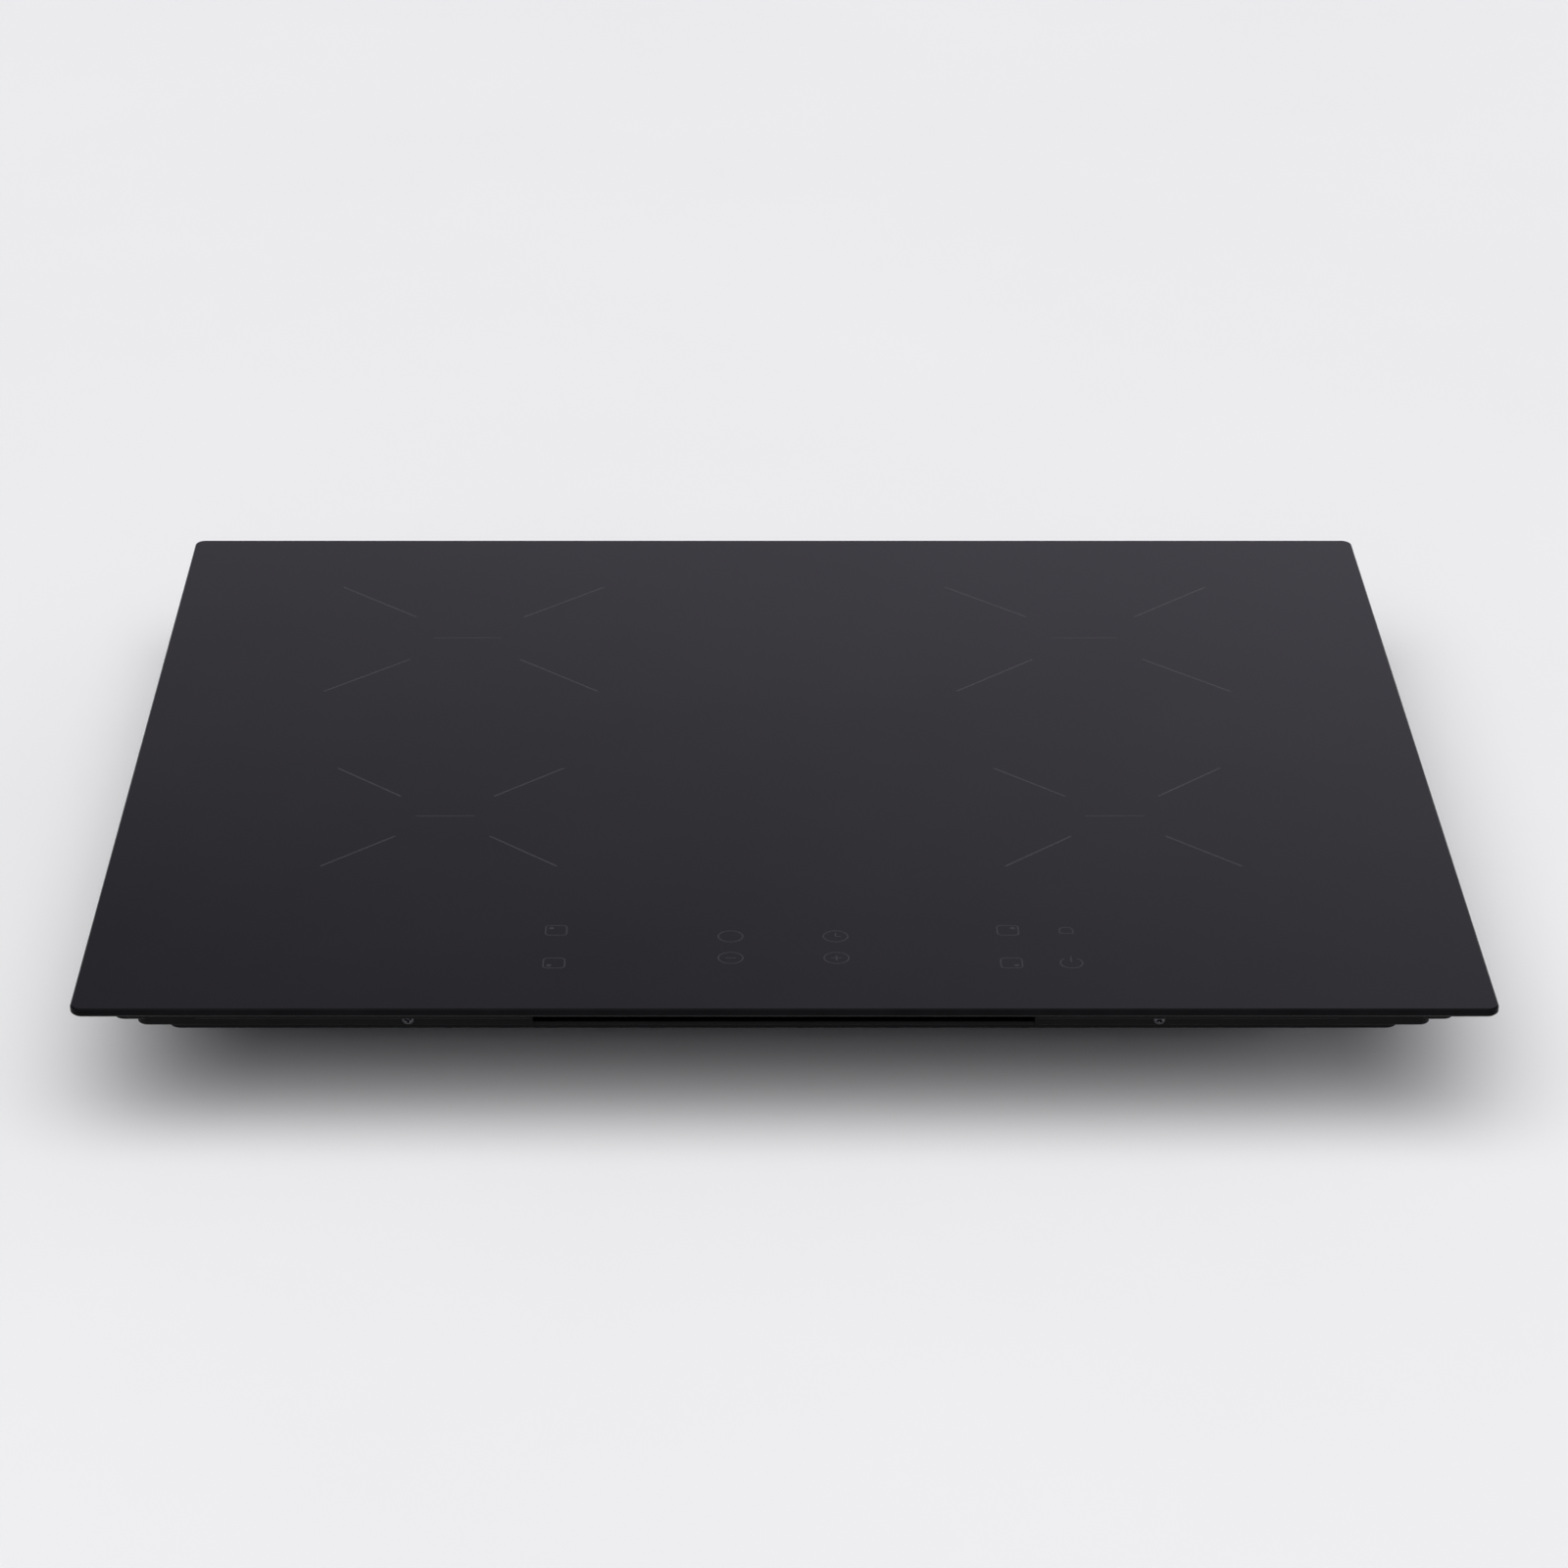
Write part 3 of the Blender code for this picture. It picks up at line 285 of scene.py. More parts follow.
def surface(name, dark, light, roughness, grain, scale=60, metallic=0.0, bump=0.0, specular=0.5,
            stretch=(1, 1, 1), coat=0.0, coat_roughness=0.1, depth=0.0001, grain_detail=3.0, ior=1.5):
    """Two colours mottled at scale, roughness over a (low, high) span, and a bump of grain size in metres."""
    material = bpy.data.materials.new(name)
    material.use_nodes = True
    tree = material.node_tree
    shader = tree.nodes["Principled BSDF"]
    place = node(tree, "TexCoord").outputs["Object"]
    spread = node(tree, "Mapping")
    spread.inputs["Scale"].default_value = stretch
    tree.links.new(place, spread.inputs["Vector"])
    mottle = node(tree, "TexNoise", Scale=scale, Detail=4.0, Roughness=0.6)
    fine = node(tree, "TexNoise", Scale=1 / grain, Detail=grain_detail, Roughness=0.55)
    for texture in (mottle, fine):
        tree.links.new(spread.outputs["Vector"], texture.inputs["Vector"])
    colour = ramp(tree, mottle.outputs["Fac"], ((0.3, dark), (0.7, light)))
    tree.links.new(colour, shader.inputs["Base Color"])
    rough = node(tree, "MapRange")
    rough.inputs["From Min"].default_value, rough.inputs["From Max"].default_value = 0.3, 0.7
    rough.inputs["To Min"].default_value, rough.inputs["To Max"].default_value = roughness
    tree.links.new(fine.outputs["Fac"], rough.inputs["Value"])
    tree.links.new(rough.outputs["Result"], shader.inputs["Roughness"])
    if bump:
        relief = node(tree, "Bump", Strength=bump, Distance=depth)
        tree.links.new(fine.outputs["Fac"], relief.inputs["Height"])
        tree.links.new(relief.outputs["Normal"], shader.inputs["Normal"])
    shader.inputs["Metallic"].default_value = metallic
    shader.inputs["Specular IOR Level"].default_value = specular
    shader.inputs["IOR"].default_value = ior
    shader.inputs["Coat Weight"].default_value = coat
    shader.inputs["Coat Roughness"].default_value = coat_roughness
    return material


def grey(value, blue=0.0):
    return (value, value, value + blue)


def make_materials():
    return {
        "glass": surface("black_glass", (0.0085, 0.0080, 0.0098), (0.0110, 0.0104, 0.0124), (0.075, 0.105),
                         0.0006, scale=9, bump=0.02, depth=0.00002),
        "ground": surface("ground_glass_edge", (0.0026, 0.0025, 0.0030), (0.0046, 0.0045, 0.0052), (0.20, 0.34),
                          0.0004, scale=80, bump=0.10, depth=0.00003, specular=0.04),
        "print": surface("grey_print", (0.034, 0.034, 0.037), (0.046, 0.046, 0.050), (0.18, 0.28),
                         0.0003, scale=300, bump=0.05, depth=0.00001),
        "faint": surface("faint_print", (0.029, 0.029, 0.032), (0.037, 0.037, 0.041), (0.14, 0.24),
                         0.0003, scale=300, bump=0.05, depth=0.00001),
        "foam": surface("seal_foam", grey(0.004), grey(0.010), (0.85, 1.0), 0.0007, scale=500,
                        bump=0.8, specular=0.1, depth=0.0003),
        "enamel": surface("black_powder_coat", grey(0.0020, 0.0004), grey(0.0040, 0.0007), (0.42, 0.58), 0.0005,
                          scale=45, bump=0.25, specular=0.10, depth=0.00008, grain_detail=2.0),
        "plastic": surface("black_plastic", grey(0.013), grey(0.021, 0.001), (0.42, 0.60), 0.0003, scale=120,
                           bump=0.22, specular=0.4, depth=0.00005),
        "white": surface("natural_nylon", (0.60, 0.58, 0.52), (0.72, 0.70, 0.64), (0.35, 0.50), 0.0006, scale=90,
                         bump=0.08, depth=0.00004),
        "zinc": surface("zinc_plate", (0.46, 0.48, 0.52), (0.66, 0.67, 0.69), (0.20, 0.38), 0.0012, scale=320,
                        metallic=1.0, bump=0.06, depth=0.00003),
        "dark_zinc": surface("black_zinc_plate", (0.060, 0.060, 0.068), (0.110, 0.110, 0.120), (0.24, 0.40), 0.0010,
                             scale=320, metallic=1.0, bump=0.06, depth=0.00003),
        "aluminium": surface("rolled_aluminium", (0.66, 0.67, 0.68), (0.80, 0.81, 0.82), (0.26, 0.42), 0.0010,
                             scale=40, metallic=1.0, bump=0.10, stretch=(0.04, 1, 1), depth=0.00003),
        "sink": surface("extruded_aluminium", (0.60, 0.61, 0.63), (0.74, 0.75, 0.76), (0.28, 0.46), 0.0006,
                        scale=60, metallic=1.0, bump=0.15, stretch=(1, 0.03, 1), depth=0.00004),
        "copper": surface("lacquered_copper", (0.42, 0.155, 0.060), (0.62, 0.27, 0.12), (0.25, 0.42), 0.0005,
                          scale=700, metallic=1.0, bump=0.35, depth=0.00015, coat=0.4),
        "ferrite": surface("sintered_ferrite", grey(0.030, 0.002), grey(0.060, 0.003), (0.55, 0.80), 0.0004,
                           scale=900, bump=0.25, depth=0.00006),
        "mica": surface("mica_sheet", (0.40, 0.33, 0.21), (0.64, 0.57, 0.42), (0.30, 0.62), 0.0018, scale=260,
                        bump=0.15, depth=0.00005, coat=0.15),
        "laminate": surface("solder_mask", (0.010, 0.085, 0.030), (0.016, 0.140, 0.052), (0.22, 0.34), 0.0012,
                            scale=160, bump=0.10, depth=0.00004, coat=0.3),
        "solder": surface("solder", (0.55, 0.56, 0.58), (0.72, 0.73, 0.74), (0.20, 0.40), 0.0008, scale=500,
                          metallic=1.0, bump=0.2, depth=0.00005),
        "yellow": surface("film_capacitor", (0.55, 0.40, 0.05), (0.66, 0.50, 0.09), (0.30, 0.45), 0.0006,
                          scale=150, bump=0.08, depth=0.00004),
        "blue": surface("blue_lacquer", (0.020, 0.050, 0.22), (0.035, 0.085, 0.32), (0.25, 0.40), 0.0006,
                        scale=150, bump=0.10, depth=0.00004),
        "sleeve": surface("capacitor_sleeve", (0.012, 0.012, 0.020), (0.025, 0.025, 0.040), (0.22, 0.36), 0.0008,
                          scale=150, bump=0.05, depth=0.00004),
        "chip": surface("moulded_epoxy", grey(0.010), grey(0.018), (0.50, 0.68), 0.0003, scale=300, bump=0.2,
                        specular=0.35, depth=0.00004),
        "red": surface("red_filter", (0.090, 0.004, 0.004), (0.140, 0.008, 0.008), (0.12, 0.20), 0.0008,
                       scale=90, bump=0.02, depth=0.00002, coat=0.5),
        "segment": surface("unlit_segment", (0.16, 0.020, 0.018), (0.22, 0.035, 0.030), (0.20, 0.30), 0.0006,
                           scale=120, bump=0.05, depth=0.00002),
        "plate": surface("blank_label", (0.60, 0.61, 0.62), (0.72, 0.72, 0.73), (0.30, 0.42), 0.0008,
                         scale=70, bump=0.04, depth=0.00002, metallic=0.6),
        "floor": surface("studio_floor", grey(0.88), grey(0.90), (0.75, 0.90), 0.02, scale=2, specular=0.1),
    }


# The glass and its printed marks.

def glass_piece():
    """The plate: gloss on its flat faces and finely ground on its edge, with an arris above and below."""
    thickness, corner = TOP - GLASS_LOW.z, 0.005
    arris, lower, flat_face = 0.0006, 0.0010, 0.1
    section = [(lower, thickness), (0, thickness - lower), (0, arris), (arris, PRINT_RISE)]
    section = softened(section, (0.0, 0.0004, 0.0003, 0.0001), 5, closed=False)
    shape = bmesh.new()
    add_loft(shape, [inset(side, drop, corner - side, steps=16) for side, drop in section])
    for face in shape.faces:
        face.material_index = 0 if face.calc_area() > flat_face else 1
    piece("glass_plate", shape, ("glass", "ground"), "glass_top")


class Printing:
    """Flat ink shapes on the glass, a few hundredths of a millimetre thick."""

    def __init__(self, name, *inks):
        self.name, self.shape, self.inks = name, bmesh.new(), inks
        self.ink = 0
        self.low, self.high = TOP - PRINT_RISE - 0.00001, TOP
        self.corners = ((-0.5, self.low), (0.5, self.low), (0.5, self.high), (-0.5, self.high))

    def outline(self, points):
        add_loft(self.shape, [[(x, y, z) for x, y in points] for z in (self.low, self.high)], part=self.ink)

    def stroke(self, start, end, width, steps=6):
        start, end = Vector(start), Vector(end)
        heading = end - start
        turn = Vector((0, 1)).angle_signed(heading) if heading.length else 0
        points = []
        for spot, first in ((end, 0), (start, pi)):
            for step in range(steps + 1):
                angle = first + step * pi / steps - turn
                points.append((spot.x + width / 2 * cos(angle), spot.y + width / 2 * sin(angle)))
        self.outline(points)

    def arc(self, centre, radius, width, first=0.0, last=2 * pi, steps=48):
        """A ring, or an open arc anticlockwise between two angles."""
        whole = last - first > 2 * pi - 0.001
        angles = [first + (last - first) * i / steps for i in range(steps if whole else steps + 1)]
        rows = []
        for reach, z in self.corners:
            rows.append([(centre[0] + (radius + reach * width) * cos(a),
                          centre[1] + (radius + reach * width) * sin(a), z) for a in angles])
        self.band(rows, whole)

    def band(self, rows, closed):
        """Skin four loops that run side by side: inner low, outer low, outer high, inner high."""
        grid = [[self.shape.verts.new(point) for point in row] for row in rows]
        count = len(grid[0])
        for a in range(4):
            b = (a + 1) % 4
            for i in range(count if closed else count - 1):
                j = (i + 1) % count
                self.shape.faces.new((grid[a][i], grid[b][i], grid[b][j], grid[a][j]))
        if not closed:
            for i in (0, count - 1):
                self.shape.faces.new([row[i] for row in grid])

    def frame(self, centre, width, height, radius, line):
        """The outline of a rounded rectangle."""
        rows = []
        for reach, z in self.corners:
            half_x, half_y = width / 2 + reach * line, height / 2 + reach * line
            rows.append(rounded((centre[0] - half_x, centre[1] - half_y),
                                (centre[0] + half_x, centre[1] + half_y), radius + reach * line, z, 5))
        self.band(rows, True)

    def dot(self, centre, radius):
        self.outline([point[:2] for point in circle(*centre, radius, 0, 20)])

    def done(self):
        piece(self.name, self.shape, self.inks)


def zone_centres():
    """Each cooking zone's name, centre and winding radius, from its CAD winding."""
    for name, _, _ in CORNERS:
        low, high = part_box(f"winding_{name}")
        yield name, *centre(f"winding_{name}").xy, (high.x - low.x) / 2


def zone_marks():
    """Four diagonal strokes round each zone, from an outer square's corners to an inner one's."""
    print_ = Printing("zone_marks", "print", "faint")
    line = 0.00085
    for name, x, y, _ in zone_centres():
        outer, inner = (0.1295, 0.0534) if name.startswith("back") else (0.1030, 0.0424)
        for side_x in (-1, 1):
            for side_y in (-1, 1):
                ends = [(x + side_x * reach / 2, y + side_y * reach / 2) for reach in (outer, inner)]
                print_.stroke(*ends, line)
        print_.ink = 1
        half = 0.016 if name.startswith("back") else 0.013
        print_.stroke((x - half, y), (x + half, y), 0.0007)
        print_.ink = 0
    print_.done()


def key_marks():
    """Touch keys: zone selectors, four ringed keys for level and time, a dome for the lock and a power sign."""
    print_ = Printing("key_marks", "faint")
    line, ring = 0.00062, 0.0052
    for x, spot in ((-0.0964, -1), (0.0958, 1)):
        for y, high in ((-0.1873, 1), (-0.2181, -1)):
            print_.frame((x, y), 0.0090, 0.0092, 0.0018, line)
            print_.dot((x + spot * 0.0021, y + high * 0.0021), 0.0011)
    for x in (-0.0222, 0.0224):
        for y in (-0.1930, -0.2133):
            print_.arc((x, y), ring, line)
    minus, plus, clock, arm = (-0.0222, -0.2133), (0.0224, -0.2133), (0.0224, -0.1930), 0.0021
    for x, y in (minus, plus):
        print_.stroke((x - arm, y), (x + arm, y), line)
    for side in (-1, 1):
        print_.stroke((plus[0], plus[1] + side * 0.0006), (plus[0], plus[1] + side * arm), line)
    print_.stroke((clock[0], clock[1] + 0.0006), (clock[0], clock[1] + 0.0029), line)
    print_.stroke(clock, (clock[0] + arm, clock[1]), line)
    dome_x, dome_y, half, side = 0.1206, -0.1872, 0.0028, 0.0026
    print_.arc((dome_x, dome_y), half, line, 0, pi, 24)
    for edge in (-half, half):
        print_.stroke((dome_x + edge, dome_y - 0.0004), (dome_x + edge, dome_y - side + 0.0004), line)
    print_.stroke((dome_x - half, dome_y - side - 0.0003), (dome_x + half, dome_y - side - 0.0003), line)
    power_x, power_y = 0.1210, -0.2180
    print_.arc((power_x, power_y), 0.0047, line, radians(125), radians(415), 40)
    print_.stroke((power_x, power_y + 0.0012), (power_x, power_y + 0.0058), line)
    print_.done()


def seal_piece():
    """Foam tape with rounded edges."""
    low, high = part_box("worktop_seal")
    outer = RIGHT - high.x
    width = 0.009
    top, bottom = TOP - high.z, TOP - low.z
    section = [(outer, bottom), (outer, top), (outer + width, top), (outer + width, bottom)]
    section = softened(section, (0.0006, 0.0002, 0.0002, 0.0006), 3)
    shape = bmesh.new()
    add_loft(shape, [inset(side, drop, 0.004, steps=8) for side, drop in section], ring=True)
    piece("foam_seal", shape, ("foam",), "worktop_seal")


# The pressed casing.

def pressed_ring(name, section, radii):
    """Sheet swept round the glass's outline: (inset, drop, plan corner) points, each bend with its own radius."""
    shape = bmesh.new()
    add_loft(shape, [inset(*spot) for spot in softened(section, radii, 4)], ring=True)
    return link(name, shape)


def vent_space():
    shape = bmesh.new()
    add_box(shape, (-VENT_HALF, FRONT + VENT_FRONT, TOP - VENT_BOTTOM),
            (VENT_HALF, FRONT + VENT_BACK, TOP - VENT_TOP))
    return shape


def screw_holes():
    """Clearance for the four casing screws, through the frame and the casing."""
    shape = bmesh.new()
    for name, _, _ in CORNERS:
        add_rod(shape, centre(f"casing_screw_{name}"), HOLES["casing"], 0.012, "Y")
    return shape


def add_screw_hole(shape, kind, place, z, depth=0.004, segments=24):
    """An upright clearance hole at a CAD screw's place."""
    add_rod(shape, (*centre(f"{kind}_screw_{place}").xy, z), HOLES[kind], depth, segments=segments)


def add_lead_hole(shape, z_low, z_high):
    """The hole that leads the wiring through the terminal box's top and the casing's floor."""
    low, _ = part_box("terminal_housing")
    x, y = low.x + 0.018, low.y + 0.013
    add_loft(shape, [rounded((x, y), (x + 0.024, y + 0.010), 0.003, z) for z in (z_low, z_high)])


def add_slot_y(shape, x_low, x_high, z_low, z_high, y_low, y_high, radius=0.0008, steps=4):
    """A hole with round corners, through a wall that faces y."""
    turn = Matrix.Rotation(pi / 2, 4, "X")
    loops = [rounded((x_low, z_low), (x_high, z_high), radius, -y, steps) for y in (y_high, y_low)]
    add_loft(shape, [[turn @ Vector(point) for point in loop] for loop in loops])


def frame_piece():
    """The frame bonded under the glass: a top flange, a wall, a bottom flange and a lip."""
    low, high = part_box("mounting_frame")
    side, top = RIGHT - high.x, TOP - high.z
    lip, bottom, drop = 0.0258, TOP - low.z, 0.0135
    outer, inner = CORNER, CORNER - SHEET
    section = [(side, top, outer), (side, drop, outer), (lip, drop, inner), (lip, bottom, inner),
               (lip + SHEET, bottom, inner - SHEET), (lip + SHEET, drop - SHEET, inner - SHEET),
               (side + SHEET, drop - SHEET, inner), (side + SHEET, top + SHEET, inner),
               (side + 0.018, top + SHEET, outer), (side + 0.018, top, outer)]
    radii = (BEND, BEND, 0.0006, CUT_EDGE, CUT_EDGE, BEND, 0.0006, 0.0006, CUT_EDGE, CUT_EDGE)
    made = pressed_ring("glass_frame", section, radii)
    cut(made, vent_space())
    gaps = bmesh.new()
    for x_low, x_high in ((-0.266, -0.245), (0.231, 0.268)):        # a short gap near each front corner
        add_slot_y(gaps, x_low, x_high, TOP - 0.0142, TOP - 0.0072, FRONT + VENT_FRONT, FRONT + 0.0225)
    cut(made, gaps)
    cut(made, screw_holes())
    cheeks = bmesh.new()        # the plates that close the vent's ends, above and below the frame's lip
    for side_x in (-1, 1):
        x_low, x_high = sorted((side_x * (VENT_HALF - OVERLAP), side_x * (VENT_HALF + 0.0012)))
        add_box(cheeks, (x_low, FRONT + side + 0.00025, TOP - drop + 0.0002),
                (x_high, FRONT + lip + 0.0005, TOP - top - 0.0005))
        add_box(cheeks, (x_low + 0.00005, FRONT + side + 0.0038, TOP - bottom + 0.0002),
                (x_high - 0.00005, FRONT + 0.0242, TOP - drop + 0.0008))
    cut(made, cheeks, "UNION")
    piece("glass_frame", made, ("enamel",), "mounting_frame")


def casing_piece():
    """The casing: two steps inwards to a floor with the opening for the deep pan."""
    low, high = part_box("upper_casing")
    side, top, ledge, floor = RIGHT - high.x, TOP - high.z, 0.0205, TOP - low.z
    inner = 0.036
    wall, well = CORNER - SHEET, FLOOR_CORNER - SHEET
    opening = inner + 0.008
    section = [(side, top, CORNER), (side, ledge, CORNER), (inner, ledge, FLOOR_CORNER),
               (inner, floor, FLOOR_CORNER), (opening, floor, FLOOR_CORNER), (opening, floor - SHEET, well),
               (inner + SHEET, floor - SHEET, well), (inner + SHEET, ledge - SHEET, well),
               (side + SHEET, ledge - SHEET, wall), (side + SHEET, top, wall)]
    radii = (CUT_EDGE, 0.0013, 0.0006, 0.0012, 0, 0, 0.0004, 0.0013, 0.0006, CUT_EDGE)
    pan_side, pan_front, pan_back, pan_corner = 0.071, 0.101, 0.083, 0.014
    loops = []
    for spot, drop, corner in softened(section, radii, 4):
        at_opening = spot > inner + 0.0075
        loops.append(inset(pan_side, drop, pan_corner, pan_front, pan_back) if at_opening
                     else inset(spot, drop, corner))
    shape = bmesh.new()
    add_loft(shape, loops, ring=True)
    made = link("stepped_casing", shape)
    cut(made, vent_space())
    cut(made, screw_holes())
    holes = bmesh.new()
    for name, _, _ in CORNERS:
        add_screw_hole(holes, "clamp", name, low.z)
    for end, _ in ENDS:
        add_screw_hole(holes, "pan", end, low.z)
    add_lead_hole(holes, low.z - 0.002, low.z + 0.003)
    cut(made, holes)
    piece("stepped_casing", made, ("enamel",), "upper_casing")


PAN_FLANGE = 0.012


def pan_loop(extra, z, radius):
    """A loop round the pan, set in from its wall by extra."""
    low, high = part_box("bottom_pan")
    side = PAN_FLANGE + extra
    return rounded((low.x + side, low.y + side), (high.x - side, high.y - side), radius, z)


def bead_bars(reach, z_low, z_high, taper):
    """Long rounded bars across the pan's floor: the pressed beads."""
    shape = bmesh.new()
    for y in (-0.115, -0.045, 0.025):
        loops = []
        for z, grow in ((z_low, reach + taper), (z_high, reach)):
            low, high = (-0.180 - grow, y - 0.007 - grow), (0.180 + grow, y + 0.007 + grow)
            loops.append(rounded(low, high, 0.0069 + grow, z, 8))
        add_loft(shape, loops)
    return shape


def pan_piece():
    """The deep pan, with pressed beads, fan inlets below and outlet slots in its front and back walls."""
    top, corner, bend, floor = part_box("bottom_pan")[1].z, 0.014, 0.003, 0.02
    section = [(floor, 0), (0, 0), (0, top - SHEET), (-PAN_FLANGE, top - SHEET), (-PAN_FLANGE, top), (SHEET, top),
               (SHEET, SHEET), (floor, SHEET)]
    radii = (0, bend, 0.0006, CUT_EDGE, CUT_EDGE, BEND, bend - SHEET, 0)
    shape = bmesh.new()
    add_loft(shape, [pan_loop(side, z, max(corner - max(side, 0), 0.006))
                     for side, z in softened(section, radii, 5, closed=False)])
    made = link("deep_pan", shape)
    cut(made, bead_bars(SHEET * 0.6, SHEET - OVERLAP, SHEET + 0.0012, 0.0006), "UNION")
    cut(made, bead_bars(0, -SHEET, 0.0012, 0.0011))
    cut(made, inlet_slots())
    cut(made, outlet_slots())
    holes = bmesh.new()
    for end, _ in ENDS:
        add_screw_hole(holes, "pan", end, top)
    cut(made, holes)
    piece("deep_pan", made, ("enamel",), "bottom_pan")


def inlet_slots():
    """Parallel slots that fill a circle below each fan."""
    shape = bmesh.new()
    pitch, width, reach = 0.0078, 0.0042, 0.036
    for end, _ in ENDS:
        x, y = centre(f"fan_frame_{end}").xy
        for row in range(-4, 5):
            half, y_row = (reach ** 2 - (row * pitch) ** 2) ** 0.5, y + row * pitch
            add_slot(shape, (x - half, y_row - width / 2), (x + half, y_row + width / 2), -SHEET, 2 * SHEET)
    return shape


def outlet_slots():
    """Upright slots with round ends through the pan's front and back walls."""
    shape = bmesh.new()
    low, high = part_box("bottom_pan")
    pitch, half, z_low, z_high = 0.0155, 0.003, 0.008, 0.021
    for y, nearest, count in ((low.y + PAN_FLANGE, 0.045, 10), (high.y - PAN_FLANGE, 0.115, 6)):
        for side in (-1, 1):
            for i in range(count):
                x = side * (nearest + i * pitch)
                add_slot_y(shape, x - half, x + half, z_low, z_high, y - 0.004, y + 0.004, half * 0.98, 6)
    return shape


# Fasteners and clamps.

def screw_mesh(name, head_radius, head, shank_radius, shank):
    """A pan-head screw with a cross recess, a threaded shank and a pointed end. Its seat is at height 0."""
    shape = bmesh.new()
    profile = [(0, head), (head_radius * 0.62, head * 0.97), (head_radius, head * 0.52), (head_radius, 0),
               (shank_radius, 0)]
    profile = softened(profile, (0, head * 0.3, head * 0.3, 0.0002, 0), 4, closed=False)
    pitch = 0.0008
    turns = int(shank / pitch) - 1
    for i in range(1, turns):
        profile += [(shank_radius * 0.80, -i * pitch), (shank_radius, -(i + 0.5) * pitch)]
    profile += [(shank_radius * 0.7, -turns * pitch), (shank_radius * 0.25, -shank + 0.0001), (0, -shank)]
    add_turned(shape, profile, segments=36)
    made = link(name, shape)
    recess = bmesh.new()
    arm, width, depth = head_radius * 0.58, head_radius * 0.17, head * 0.62
    for spin in (0, pi / 2):
        turn = Matrix.Rotation(spin, 4, "Z")
        loops = []
        for z, share in ((head - depth, 0.45), (head + 0.001, 1.0 + 0.001 / depth * 0.55)):
            half_x, half_y = arm * share + spin * 0.00001, width * (0.7 + 0.3 * share)
            loops.append([turn @ Vector(point) for point in
                          ((half_x, half_y, z), (-half_x, half_y, z), (-half_x, -half_y, z), (half_x, -half_y, z))])
        add_loft(recess, loops)
    cut(made, recess)
    mesh = made.data
    bpy.data.objects.remove(made)
    return mesh


def fasteners():
    """All ten screws, each turned so that its head lies where its CAD node has it."""
    shapes = {kind: screw_mesh(f"{kind}_screw_shape", *sizes) for kind, sizes in SCREWS.items()}
    for name, side, park in CORNERS:
        node_name, head = f"casing_screw_{name}", SCREWS["casing"][1]
        low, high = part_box(node_name)
        x, _, z = centre(node_name)
        spot = Matrix.Translation((x, low.y + head if park > 0 else high.y - head, z))
        turn = Matrix.Rotation(park * pi / 2, 4, "X") @ Matrix.Rotation(0.4 + side * 0.3, 4, "Z")
        piece(f"casing_screw_head_{name}", shapes["casing"].copy(), ("dark_zinc",), node_name, matrix=spot @ turn)
    below = [("pan", end) for end, _ in ENDS] + [("clamp", name) for name, _, _ in CORNERS]
    for number, (kind, place) in enumerate(below):
        node_name = f"{kind}_screw_{place}"
        spot = Matrix.Translation((*centre(node_name).xy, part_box(node_name)[0].z + SCREWS[kind][1]))
        turn = Matrix.Rotation(pi, 4, "X") @ Matrix.Rotation(0.3 + number * 0.7, 4, "Z")
        piece(f"{kind}_screw_head_{place}", shapes[kind].copy(), ("zinc",), node_name, matrix=spot @ turn)


def clamp_pieces():
    """Bent steel strips that swivel out under the worktop, each riding on its own body."""
    thick = 0.0015
    run = [(-0.0075, 0), (0.012, 0), (0.014, -0.0125), (0.049, -0.0125), (0.052, -0.0085)]
    outline = strip_outline(run, thick)
    for name, _, park in CORNERS:
        node_name = f"mounting_clamp_{name}"
        low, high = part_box(node_name)
        x, y = centre(f"clamp_screw_{name}").xy
        half = (high.x - low.x) / 2 - 0.00002
        shape = bmesh.new()
        add_loft(shape, [[(x + across * half, y + park * run_y, high.z - thick / 2 + rise)
                          for run_y, rise in outline] for across in (-1, 1)])
        made = link(f"swivel_clamp_{name}", shape)
        hole = bmesh.new()
        add_screw_hole(hole, "clamp", name, high.z, 0.006, 32)
        cut(made, hole)
        bevel = made.modifiers.new("Edges", "BEVEL")
        bevel.width, bevel.segments, bevel.limit_method, bevel.angle_limit = 0.00025, 2, "ANGLE", radians(50)
        piece(made.name, made, ("zinc",), node_name, body=node_name)


def strip_outline(run, thick):
    """The side view of a bent strip: its middle line offset half a thickness each way, bends rounded."""
    upper, lower = [], []
    for i, point in enumerate(run):
        here = Vector(point)
        before = (here - Vector(run[i - 1])).normalized() if i else None
        after = (Vector(run[i + 1]) - here).normalized() if i < len(run) - 1 else None
        first, second = before or after, after or before
        normal = Vector((-(first + second).y, (first + second).x)).normalized()
        stretch = thick / 2 / max(normal.dot(Vector((-first.y, first.x))), 0.5)
        upper.append(tuple(here + normal * stretch))
        lower.append(tuple(here - normal * stretch))
    points = upper + lower[::-1]
    count = len(run)
    radii = [0.0003 if i in (0, count - 1, count, 2 * count - 1) else 0.0012 for i in range(2 * count)]
    return softened(points, radii, 4)


# The terminal box.

